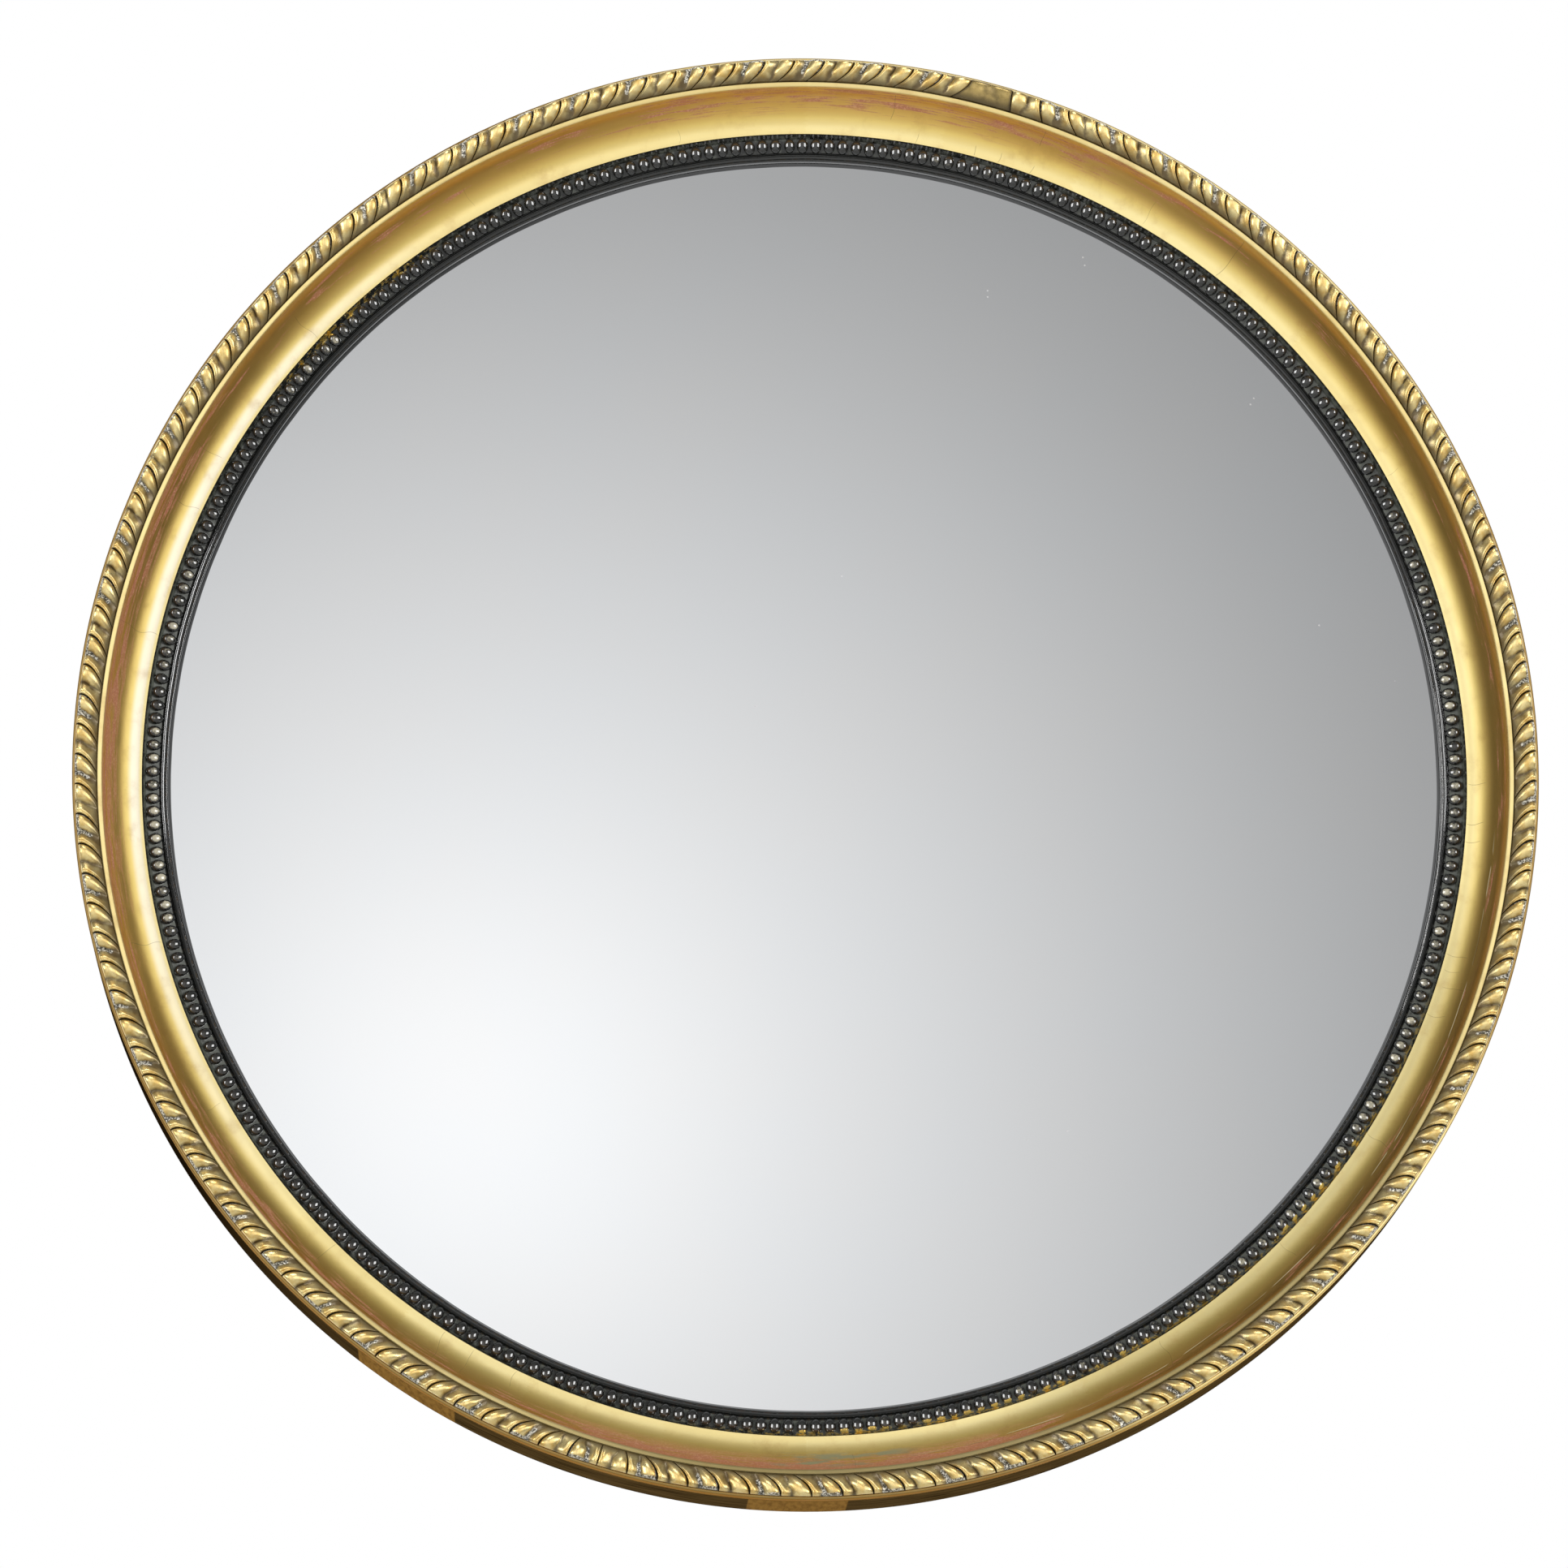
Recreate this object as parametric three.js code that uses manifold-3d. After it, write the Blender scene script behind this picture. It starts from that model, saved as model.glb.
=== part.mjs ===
// A round convex wall mirror with a giltwood frame, in millimetres, +Z up, the glass facing -Y.
// The origin is the middle of the backboard's rear face, so the frame's flat back lies in y = 0.
// Angles are degrees clockwise from the top, as seen from the front.
// A section is a list of [radius, forward] points, where forward is the distance in front of the back.

import * as THREE from 'three';
import { mergeVertices } from 'three/addons/utils/BufferGeometryUtils.js';
import Module from 'manifold-3d';

const wasm = await Module();
wasm.setup();

// clearances
const seatGap = 0.3; // between pieces that rest on each other
const jointGap = 0.3; // between the ends of neighbouring sections
const ringGap = 0.35; // all round the ring's bar in its eye
const plateGap = 2; // between the glass rim and the rings round it

// frame face, from the glass outwards
const sightRadius = 370.4;
const slipWidth = 14.8;
const hollowWidth = 21.2;
const filletWidth = 2.8;
const ropeBedWidth = 12.8;
const edgeWidth = 1.7;
const flankBatter = 1.3;

// frame face, from the back forwards
const backRingDepth = 24;
const sightLip = 2.7;
const slipRise = 8.1;
const hollowDepth = 22.8;
const filletRise = 4.3;
const ropeBedDrop = 1.7;
const edgeRound = 0.8;
const giltEdgeDepth = 11;
const giltStep = 0.2; // the gilt edge stands back from the flank by this much

// rings of felloes under the ornament
const frontFelloes = 6;
const frontJointAngle = 39;
const backFelloes = 6;
const backJointAngle = 9;
const backRebateWidth = 12;
const ringStep = 3.75;
const hollowSteps = 4;

// rope twist
const ropeHeight = 7.6;
const ropeInnerSlope = 4.4; // from the twist's inner edge to where its crest begins
const ropeOverhang = 0.4; // the crest's outer edge stands out over the foot by this much
const ropeHollow = 3.1;
const lobePitch = 17.4;
const spliceFromAngle = 13.3;
const spliceToAngle = 16.6;
const ropeFootAngle = 196.5; // where the two hands of the twist meet at the bottom
const ropeLengthsPerHand = 4;
const stationsPerLobe = 3;
const spliceHeight = 6.2;

// ebonised slip with its beads
const slipSections = 4;
const slipJointAngle = 96;
const slipFlange = 5;
const slipFlangeDepth = 5;
const sightRound = 1;
const sightBandWidth = 4.5;
const sightBandRise = 1.9;
const beadStep = 0.5;
const beadGroundWidth = 7.5;
const beadGroundRise = 2.5;
const beadPitch = 7.915;
const beadRadius = 3.3;
const beadHeight = 3.7;
const beadNeck = 0.9;
const beadNeckHeight = 0.9;

// convex glass and what holds it
const plateOverlap = 7.6; // how far the glass runs under the slip
const plateThickness = 4;
const plateBulge = 42;
const plateFacets = 72;
const plateRings = 5;
const packingBlocks = 8;
const blockWidth = 20;
const blockSpan = 6;
const firstBlockAngle = 22.5;

// backboard
const boardThickness = 8.7;
const boardRimGap = 0.5;
const planks = ['left', 'middle', 'right'];
const plankGap = 0.6;
const plankArcStep = 3.75;
const boardScrewLength = 20;
const boardScrewHead = 4;
const boardScrewShank = 1.8;
const boardScrewTaper = 2.6;
const boardScrewSink = 0.2;

// hangers
const hangerAngle = 75;
const strapWidth = 18;
const strapThickness = 1.6;
const strapTail = 8; // from the lower screw to the strap's foot
const strapScrewDrop = 24; // from the ring's axis to the upper screw
const strapScrewPitch = 16;
const strapScrewHead = 3.6;
const strapScrewDome = 1.7;
const strapScrewShank = 1.8;
const strapScrewLength = 17;
const ringWire = 3.6;
const ringHalfWidth = 15;
const ringArcSteps = 10;
const ringSides = 8;
const screwSides = 10;
const eyeSides = 20;

const fullTurn = 360;

const gilt = { color: 0xc8a14a, metalness: 0.85, roughness: 0.38 };
const giltTwist = { color: 0xb9923f, metalness: 0.85, roughness: 0.42 };
const ebonised = { color: 0x17161a, metalness: 0, roughness: 0.28 };
const pine = { color: 0x9c7446, metalness: 0, roughness: 0.8 };
const silvered = { color: 0xcfd0d2, metalness: 1, roughness: 0.04 };
const steel = { color: 0x6f6a62, metalness: 0.9, roughness: 0.5 };
const brass = { color: 0xa98a4a, metalness: 0.9, roughness: 0.4 };

// radii and levels that follow from the sizes above
const goldRadius = sightRadius + slipWidth;
const hollowRadius = goldRadius + hollowWidth;
const bedInner = hollowRadius + filletWidth;
const bedOuter = bedInner + ropeBedWidth;
const edgeRadius = bedOuter + edgeWidth;
const flankFront = edgeRadius + giltStep;
const flankBack = flankFront + flankBatter;
const frontBack = backRingDepth + seatGap;
const sightLevel = frontBack + sightLip;
const goldLevel = sightLevel + slipRise;
const hollowLevel = goldLevel + hollowDepth;
const filletLevel = hollowLevel + filletRise;
const bedLevel = filletLevel - ropeBedDrop;
const giltEdgeBack = filletLevel - giltEdgeDepth;
const plateRadius = sightRadius + plateOverlap;
const ringInner = plateRadius + plateGap;
const boardRecessRadius = ringInner + backRebateWidth;
const boardRecess = boardThickness + seatGap;
const ropeFoot = bedLevel + seatGap;
const ropeInner = bedInner + seatGap;
const ropeOuter = bedOuter - 2 * seatGap;
const ropeMiddle = (ropeInner + ropeOuter) / 2;

const radians = THREE.MathUtils.degToRad;

function mesh(name, geometry, look) {
  const piece = new THREE.Mesh(geometry, new THREE.MeshStandardMaterial(look));
  piece.name = name;
  return piece;
}

// a point of a section, carried round the mirror's axis to an angle
function onRing([radius, forward], angle) {
  return [radius * Math.sin(radians(angle)), -forward, radius * Math.cos(radians(angle))];
}

// angle that a distance along the rim covers at a radius
function rimAngle(distance, radius) {
  return THREE.MathUtils.radToDeg(distance / radius);
}

// closed body through a list of stations, each with an angle and a section of the same length
function arcSolid(stations) {
  const corners = stations[0].section.map(([radius, forward]) => new THREE.Vector2(radius, forward));
  if (THREE.ShapeUtils.isClockWise(corners)) {
    return arcSolid(stations.map(({ angle, section }) => ({ angle, section: [...section].reverse() })));
  }
  const count = corners.length;
  const positions = stations.flatMap(({ angle, section }) => section.flatMap((point) => onRing(point, angle)));
  const faces = [];
  for (let low = 0; low < (stations.length - 1) * count; low += count) {
    const high = low + count;
    for (let corner = 0; corner < count; corner += 1) {
      const next = (corner + 1) % count;
      faces.push(low + corner, low + next, high + next);
      faces.push(low + corner, high + next, high + corner);
    }
  }
  const last = (stations.length - 1) * count;
  for (const [a, b, c] of THREE.ShapeUtils.triangulateShape(corners, [])) {
    faces.push(a, c, b);
    faces.push(last + a, last + b, last + c);
  }
  const geometry = new THREE.BufferGeometry();
  geometry.setAttribute('position', new THREE.Float32BufferAttribute(positions, 3));
  geometry.setIndex(faces);
  return geometry;
}

// arc of one fixed section, with its steps on whole multiples of the ring's step
function ringArc(section, from, to) {
  const angles = [from];
  for (let angle = Math.ceil(from / ringStep) * ringStep; angle < to; angle += ringStep) {
    if (angle - from > ringStep / 4 && to - angle > ringStep / 4) {
      angles.push(angle);
    }
  }
  angles.push(to);
  return arcSolid(angles.map((angle) => ({ angle, section })));
}

// equal arcs of one section, numbered clockwise, with a gap at each joint
function ringOfArcs(name, count, firstJoint, section, look) {
  const gap = rimAngle(jointGap, sightRadius) / 2;
  return Array.from({ length: count }, (_, index) => {
    const from = firstJoint + (index * fullTurn) / count;
    return mesh(`${name}_${index + 1}`, ringArc(section, from + gap, from + fullTurn / count - gap), look);
  });
}

function solidOf(geometry) {
  const bare = geometry.clone();
  bare.deleteAttribute('normal');
  bare.deleteAttribute('uv');
  const merged = mergeVertices(bare, 1e-4);
  return new wasm.Manifold(new wasm.Mesh({
    numProp: 3,
    vertProperties: new Float32Array(merged.attributes.position.array),
    triVerts: new Uint32Array(merged.index.array),
  }));
}

function geometryOf(solid) {
  const { vertProperties, triVerts } = solid.getMesh();
  const geometry = new THREE.BufferGeometry();
  geometry.setAttribute('position', new THREE.BufferAttribute(vertProperties, 3));
  geometry.setIndex(new THREE.BufferAttribute(triVerts, 1));
  return geometry;
}

// a piece with the holes that lie in it cut out
function drill(piece, holes) {
  const cut = holes.reduce((solid, hole) => solid.subtract(solidOf(hole)), solidOf(piece.geometry));
  piece.geometry = geometryOf(cut);
  return piece;
}

// turned shape whose axis runs from the back forwards, from a [radius, forward] profile
function turned(profile, sides, x = 0, z = 0) {
  const points = profile.map(([radius, forward]) => new THREE.Vector2(radius, -forward));
  const geometry = new THREE.LatheGeometry(points, sides);
  if (solidOf(geometry).volume() < 0) {
    geometry.index.array.reverse();
  }
  return geometry.translate(x, 0, z);
}

// front ring: hollow, fillet, bed of the rope, gilt edge and flank, over a rebate for the slip
function frontSection() {
  const rebateRadius = goldRadius + slipFlange + seatGap;
  const lipLevel = frontBack + slipFlangeDepth + seatGap;
  const hollow = Array.from({ length: hollowSteps + 1 }, (_, step) => {
    const turn = (step * Math.PI) / 2 / hollowSteps;
    return [goldRadius + hollowWidth * Math.sin(turn), hollowLevel - hollowDepth * Math.cos(turn)];
  });
  return [
    [rebateRadius, frontBack],
    [rebateRadius, lipLevel],
    [goldRadius, lipLevel],
    ...hollow,
    [bedInner, filletLevel],
    [bedInner, bedLevel],
    [bedOuter, bedLevel],
    [bedOuter, filletLevel],
    [edgeRadius - edgeRound, filletLevel],
    [edgeRadius, filletLevel - edgeRound],
    [edgeRadius, giltEdgeBack],
    [flankFront, giltEdgeBack],
    [flankRadiusAt(frontBack), frontBack],
  ];
}

function flankRadiusAt(forward) {
  return THREE.MathUtils.mapLinear(forward, 0, giltEdgeBack, flankBack, flankFront);
}

// back ring, with the rebate that takes the backboard
function backSection() {
  return [
    [ringInner, boardRecess],
    [boardRecessRadius, boardRecess],
    [boardRecessRadius, 0],
    [flankBack, 0],
    [flankRadiusAt(backRingDepth), backRingDepth],
    [ringInner, backRingDepth],
  ];
}

const beadGroundInner = sightRadius + sightRound + sightBandWidth - sightRound + beadStep;
const beadGroundLevel = sightLevel + sightBandRise - beadStep;
const beadCentre = beadGroundInner + beadGroundWidth / 2;
const beads = Math.round((radians(fullTurn) * beadCentre) / beadPitch);

// ebonised slip: sight edge, plain band, sloping ground of the beads, and the flange in the rebate
function slipSection() {
  const slipOuter = goldRadius - seatGap;
  return [
    [sightRadius, frontBack],
    [sightRadius, sightLevel],
    [sightRadius + sightRound, sightLevel + sightRound],
    [beadGroundInner - beadStep, sightLevel + sightBandRise],
    [beadGroundInner, beadGroundLevel],
    [beadGroundInner + beadGroundWidth, beadGroundLevel + beadGroundRise],
    [slipOuter, goldLevel - seatGap],
    [slipOuter, frontBack + slipFlangeDepth],
    [slipOuter + slipFlange, frontBack + slipFlangeDepth],
    [slipOuter + slipFlange, frontBack],
  ];
}

function beadGroundAt(radius) {
  return beadGroundLevel + ((radius - beadGroundInner) * beadGroundRise) / beadGroundWidth;
}

// string of beads on its sloping ground: wide and high at each bead, a neck between two
function beadRuns() {
  const stations = beads * 2;
  const gap = rimAngle(jointGap, sightRadius) / 2;
  const sectionAt = (index) => {
    const onBead = index % 2 === 1;
    const half = onBead ? beadRadius : beadNeck;
    const height = onBead ? beadHeight : beadNeckHeight;
    return [
      [beadCentre - half, beadGroundAt(beadCentre - half) + seatGap],
      [beadCentre, beadGroundAt(beadCentre) + seatGap + height],
      [beadCentre + half, beadGroundAt(beadCentre + half) + seatGap],
    ];
  };
  return Array.from({ length: slipSections }, (_, run) => {
    const first = 2 * Math.round((run * beads) / slipSections);
    const last = 2 * Math.round(((run + 1) * beads) / slipSections);
    const list = [];
    for (let index = first; index <= last; index += 1) {
      const endShift = index === first ? gap : index === last ? -gap : 0;
      const angle = slipJointAngle + (index * fullTurn) / stations + endShift;
      list.push({ angle, section: sectionAt(index) });
    }
    return mesh(`bead_run_${run + 1}`, arcSolid(list), ebonised);
  });
}

// section of the twist: a slope from the glass side, a broad crest and a steep side at the rim
function ropeSection(innerHeight, outerHeight) {
  return [
    [ropeInner, ropeFoot],
    [ropeInner + ropeInnerSlope, ropeFoot + innerHeight],
    [ropeOuter + ropeOverhang, ropeFoot + outerHeight],
    [ropeOuter, ropeFoot],
  ];
}

// one hand of the rope twist: lobes whose crests lean across the bed, in equal lengths
function ropeHand(firstNumber, from, to, lean) {
  const lobes = Math.round((radians(to - from) * ropeMiddle) / lobePitch);
  const stations = lobes * stationsPerLobe;
  const gap = rimAngle(jointGap, sightRadius) / 2;
  const heightAt = (index) => {
    const phase = (2 * Math.PI * index) / stationsPerLobe;
    return ropeHeight - ropeHollow * (0.5 - 0.5 * Math.cos(phase));
  };
  const sectionAt = (index) => ropeSection(heightAt(index + lean), heightAt(index));
  return Array.from({ length: ropeLengthsPerHand }, (_, length) => {
    const first = Math.round((length * stations) / ropeLengthsPerHand);
    const last = Math.round(((length + 1) * stations) / ropeLengthsPerHand);
    const list = [];
    for (let index = first; index <= last; index += 1) {
      const endShift = index === first ? gap : index === last ? -gap : 0;
      list.push({ angle: from + ((to - from) * index) / stations + endShift, section: sectionAt(index) });
    }
    return mesh(`rope_length_${firstNumber + length}`, arcSolid(list), giltTwist);
  });
}

// plain block let in at the top, between the two hands of the twist
function ropeSplice() {
  const section = ropeSection(spliceHeight, spliceHeight);
  const gap = rimAngle(jointGap, sightRadius) / 2;
  return mesh('rope_splice', ringArc(section, spliceFromAngle + gap, spliceToAngle - gap), giltTwist);
}

// convex glass: its front is part of a sphere that meets the slip's back at the sight edge
const sphereRadius = (sightRadius ** 2 + plateBulge ** 2) / (2 * plateBulge);
const blockOuter = ringInner - seatGap;
const blockInner = blockOuter - blockWidth;
const plateApex = frontBack - seatGap + plateBulge;

function plateFrontAt(radius) {
  return plateApex - sphereRadius + Math.sqrt(sphereRadius ** 2 - radius ** 2);
}

function mirrorPlate() {
  const radii = Array.from({ length: plateRings }, (_, ring) => (blockInner * ring) / (plateRings - 1));
  const front = [...radii, plateRadius].map((radius) => [radius, plateFrontAt(radius)]);
  const back = front.map(([radius, forward]) => [radius, forward - plateThickness]).reverse();
  return mesh('mirror_plate', turned([...front, ...back], plateFacets), silvered);
}

// softwood blocks glued to the back ring, each sloped to bear on the back of the glass
function packingBlocksRound() {
  const bearing = (radius) => plateFrontAt(radius) - plateThickness - seatGap;
  const section = [
    [blockInner, boardRecess],
    [blockOuter, boardRecess],
    [blockOuter, bearing(plateRadius)],
    [plateRadius, bearing(plateRadius)],
    [blockInner, bearing(blockInner)],
  ];
  return Array.from({ length: packingBlocks }, (_, index) => {
    const middle = firstBlockAngle + (index * fullTurn) / packingBlocks;
    const geometry = ringArc(section, middle - blockSpan / 2, middle + blockSpan / 2);
    return mesh(`packing_block_${index + 1}`, geometry, pine);
  });
}

// upright planks that fill the back rebate
const boardRadius = boardRecessRadius - boardRimGap;
const plankWidth = (2 * boardRadius) / planks.length;

function plank(name, index) {
  const left = -boardRadius + index * plankWidth + (index > 0 ? plankGap / 2 : 0);
  const right = -boardRadius + (index + 1) * plankWidth - (index < planks.length - 1 ? plankGap / 2 : 0);
  const from = Math.asin(THREE.MathUtils.clamp(left / boardRadius, -1, 1));
  const to = Math.asin(THREE.MathUtils.clamp(right / boardRadius, -1, 1));
  const steps = Math.ceil(THREE.MathUtils.radToDeg(to - from) / plankArcStep);
  const outline = [];
  for (let step = 0; step <= steps; step += 1) {
    const angle = from + ((to - from) * step) / steps;
    outline.push(new THREE.Vector2(boardRadius * Math.sin(angle), boardRadius * Math.cos(angle)));
  }
  const lower = outline.filter((point) => point.y > seatGap).map((point) => new THREE.Vector2(point.x, -point.y));
  const shape = new THREE.Shape([...outline, ...lower.reverse()]);
  const geometry = new THREE.ExtrudeGeometry(shape, { depth: boardThickness, bevelEnabled: false });
  return mesh(`backboard_${name}`, geometry.rotateX(Math.PI / 2), pine);
}

// countersunk wood screw, and with a growth the hole that clears it
function boardScrewShape(x, z, growth = 0) {
  const top = boardScrewSink - (growth > 0 ? boardScrewSink + growth : 0);
  return turned([
    [0, top],
    [boardScrewHead + growth, top],
    [boardScrewHead + growth, boardScrewSink + growth],
    [boardScrewShank + growth, boardScrewSink + boardScrewTaper + growth],
    [boardScrewShank + growth, boardScrewLength - boardScrewShank],
    [0, boardScrewLength + growth],
  ], screwSides, x, z);
}

// screws go through the ends of each plank into the middle of the back ring's ledge
function boardScrewPlaces() {
  const ledge = (ringInner + boardRecessRadius) / 2;
  return planks.flatMap((_, index) => {
    const x = -boardRadius + (index + 0.5) * plankWidth;
    const z = Math.sqrt(ledge ** 2 - x ** 2);
    return [{ x, z }, { x, z: -z }];
  });
}

const strapFace = -(seatGap + strapThickness); // forward level of the strap's outer face
const eyeInner = ringWire / 2 + ringGap;
const eyeOuter = eyeInner + strapThickness;
const ringAxisForward = -(seatGap + eyeOuter);
const hangerRadius = (boardRecessRadius + flankBack) / 2;
const strapScrews = [strapScrewDrop, strapScrewDrop + strapScrewPitch];

// round-headed screw that stands on the strap
function strapScrewShape(x, z, growth = 0) {
  const shank = strapScrewShank + growth;
  const head = [
    [0, strapFace - seatGap - strapScrewDome],
    [strapScrewHead * 0.7, strapFace - seatGap - strapScrewDome * 0.7],
    [strapScrewHead, strapFace - seatGap],
  ];
  return turned([
    ...(growth > 0 ? [[0, strapFace - strapScrewDome]] : head),
    [shank, growth > 0 ? strapFace - strapScrewDome : strapFace - seatGap],
    [shank, strapScrewLength - strapScrewShank],
    [0, strapScrewLength + growth],
  ], screwSides, x, z);
}

// strap with a rolled eye at its head, in the frame of the ring's axis
function strapShape() {
  const length = strapScrewDrop + strapScrewPitch + strapTail;
  const strip = new THREE.BoxGeometry(strapWidth, strapThickness, length);
  strip.translate(0, -eyeOuter + strapThickness / 2, -length / 2);
  const roll = new THREE.CylinderGeometry(eyeOuter, eyeOuter, strapWidth, eyeSides).rotateZ(Math.PI / 2);
  const bore = new THREE.CylinderGeometry(eyeInner, eyeInner, strapWidth * 2, eyeSides).rotateZ(Math.PI / 2);
  return geometryOf(solidOf(strip).add(solidOf(roll)).subtract(solidOf(bore)));
}

// ring shaped like a letter D: a straight bar in the eye and a half round that hangs below it
function ringShape() {
  const path = [new THREE.Vector2(-ringHalfWidth, 0)];
  for (let step = 0; step < ringArcSteps; step += 1) {
    const angle = (-Math.PI * step) / ringArcSteps;
    path.push(new THREE.Vector2(ringHalfWidth * Math.cos(angle), ringHalfWidth * Math.sin(angle)));
  }
  const positions = [];
  path.forEach((point, index) => {
    const before = path[(index + path.length - 1) % path.length];
    const after = path[(index + 1) % path.length];
    const normals = [point.clone().sub(before), after.clone().sub(point)].map((way) => {
      way.normalize();
      return new THREE.Vector2(-way.y, way.x);
    });
    const mitre = normals[0].clone().add(normals[1]).divideScalar(1 + normals[0].dot(normals[1]));
    for (let side = 0; side < ringSides; side += 1) {
      const turn = (2 * Math.PI * side) / ringSides;
      const reach = (ringWire / 2) * Math.cos(turn);
      positions.push(point.x + mitre.x * reach, (ringWire / 2) * Math.sin(turn), point.y + mitre.y * reach);
    }
  });
  const faces = [];
  for (let index = 0; index < path.length; index += 1) {
    for (let side = 0; side < ringSides; side += 1) {
      const here = index * ringSides;
      const there = ((index + 1) % path.length) * ringSides;
      const next = (side + 1) % ringSides;
      faces.push(here + side, there + side, there + next, here + side, there + next, here + next);
    }
  }
  const geometry = new THREE.BufferGeometry();
  geometry.setAttribute('position', new THREE.Float32BufferAttribute(positions, 3));
  geometry.setIndex(faces);
  if (solidOf(geometry).volume() < 0) {
    geometry.setIndex(faces.reverse());
  }
  return geometry;
}

const hangers = [{ side: 'left', sign: -1 }, { side: 'right', sign: 1 }].map(({ side, sign }) => ({
  side,
  x: sign * hangerRadius * Math.sin(radians(hangerAngle)),
  z: hangerRadius * Math.cos(radians(hangerAngle)) + (strapScrewDrop + strapScrewPitch) / 2,
}));

const boardScrews = boardScrewPlaces();
const strapScrewPlaces = hangers.flatMap(({ side, x, z }) => strapScrews.map((drop, index) => ({
  name: `strap_screw_${side}_${index + 1}`,
  x,
  z: z - drop,
})));
const boardHoles = boardScrews.map(({ x, z }) => boardScrewShape(x, z, seatGap));
const strapHoles = strapScrewPlaces.map(({ x, z }) => strapScrewShape(x, z, seatGap));
const allHoles = [...boardHoles, ...strapHoles];

const backRing = ringOfArcs('back_felloe', backFelloes, backJointAngle, backSection(), pine);
const mirror = new THREE.Group();

mirror.add(...ringOfArcs('front_felloe', frontFelloes, frontJointAngle, frontSection(), gilt));
mirror.add(...backRing.map((felloe) => drill(felloe, allHoles)));
mirror.add(...ropeHand(1, spliceToAngle, ropeFootAngle, 1));
mirror.add(...ropeHand(1 + ropeLengthsPerHand, ropeFootAngle, spliceFromAngle + fullTurn, -1));
mirror.add(ropeSplice());
mirror.add(...ringOfArcs('slip_section', slipSections, slipJointAngle, slipSection(), ebonised));
mirror.add(...beadRuns());
mirror.add(mirrorPlate());
mirror.add(...packingBlocksRound());
mirror.add(...planks.map((name, index) => drill(plank(name, index), allHoles)));
mirror.add(...boardScrews.map(({ x, z }, index) => mesh(`board_screw_${index + 1}`, boardScrewShape(x, z), steel)));
mirror.add(...strapScrewPlaces.map(({ name, x, z }) => mesh(name, strapScrewShape(x, z), brass)));

for (const { side, x, z } of hangers) {
  const hanger = new THREE.Group();
  hanger.position.set(x, -ringAxisForward, z);
  const strap = mesh(`strap_${side}`, strapShape(), brass);
  const toHanger = strapHoles.map((hole) => hole.clone().translate(-x, ringAxisForward, -z));
  hanger.add(drill(strap, toHanger));
  hanger.add(mesh(`hanging_ring_${side}`, ringShape(), brass));
  mirror.add(hanger);
}

export default mirror;
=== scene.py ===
import math
from functools import partial

import bmesh
import bpy
import numpy as np
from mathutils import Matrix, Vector


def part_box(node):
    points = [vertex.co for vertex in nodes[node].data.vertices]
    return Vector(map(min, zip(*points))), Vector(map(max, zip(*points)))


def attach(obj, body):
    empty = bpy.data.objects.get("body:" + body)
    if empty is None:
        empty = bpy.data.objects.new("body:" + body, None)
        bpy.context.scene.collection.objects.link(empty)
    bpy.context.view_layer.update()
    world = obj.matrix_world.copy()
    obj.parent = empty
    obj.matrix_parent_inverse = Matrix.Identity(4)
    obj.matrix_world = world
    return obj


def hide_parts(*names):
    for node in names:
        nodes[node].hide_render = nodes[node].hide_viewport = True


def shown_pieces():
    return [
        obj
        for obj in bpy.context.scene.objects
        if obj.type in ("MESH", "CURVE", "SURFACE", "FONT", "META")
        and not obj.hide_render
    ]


# Looks of a round convex wall mirror: giltwood frame, rope twist, ebonised slip with beads, bulging glass.
# Metres in the part's own frame: +Z up, the glass faces -Y, the flat back lies in y = 0.
# An angle runs clockwise from the top, seen from the front; forward is the distance in front of the back.

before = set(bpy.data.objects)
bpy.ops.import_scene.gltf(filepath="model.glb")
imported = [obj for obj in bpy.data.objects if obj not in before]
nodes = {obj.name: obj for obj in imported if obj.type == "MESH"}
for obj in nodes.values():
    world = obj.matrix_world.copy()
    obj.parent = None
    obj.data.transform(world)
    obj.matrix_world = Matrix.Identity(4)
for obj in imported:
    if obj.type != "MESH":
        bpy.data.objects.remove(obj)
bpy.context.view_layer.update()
mm = 0.001
hair = 0.1 * mm
fullTurn = 360


# shapes: grids of points worked out as whole arrays

# corners of some nodes as rows of radius, forward and angle
def ringCorners(*names):
    points = np.concatenate([np.array([vertex.co for vertex in nodes[name].data.vertices]) for name in names])
    radius = np.hypot(points[:, 0], points[:, 2])
    angle = np.degrees(np.arctan2(points[:, 0], points[:, 2])) % fullTurn
    return np.stack([radius, -points[:, 1], angle], axis=1)


# first and last angle of a node, going clockwise from a start angle
def angleSpan(name, start):
    travel = (ringCorners(name)[:, 2] - start + 1) % fullTurn - 1
    return start + travel.min(), start + travel.max()


# distance between two angles, the short way round
def angleApart(angle, other):
    return np.abs((angle - other + fullTurn / 2) % fullTurn - fullTurn / 2)


# spans of neighbours in a ring, their ends drawn together at the middle of each joint
def joinedSpans(names, start):
    stride = fullTurn / len(names)
    spans = [angleSpan(name, (start + number * stride) % fullTurn) for number, name in enumerate(names)]
    joined = []
    for number, (first, last) in enumerate(spans):
        before, after = spans[number - 1][1], spans[(number + 1) % len(spans)][0]
        joined.append((first - angleApart(first, before) / 2, last + angleApart(last, after) / 2))
    return joined


# points carried round the axis: x = radius sin(angle), y = -forward, z = radius cos(angle)
def ringPoints(angle, radius, forward):
    turn = np.radians(angle)
    return np.stack(np.broadcast_arrays(radius * np.sin(turn), -forward, radius * np.cos(turn)), axis=-1)


# 0 below low, 1 above high, and 3t^2 - 2t^3 between
def smoothStep(low, high, value):
    share = np.clip((value - low) / (high - low), 0, 1)
    return share * share * (3 - 2 * share)


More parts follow.
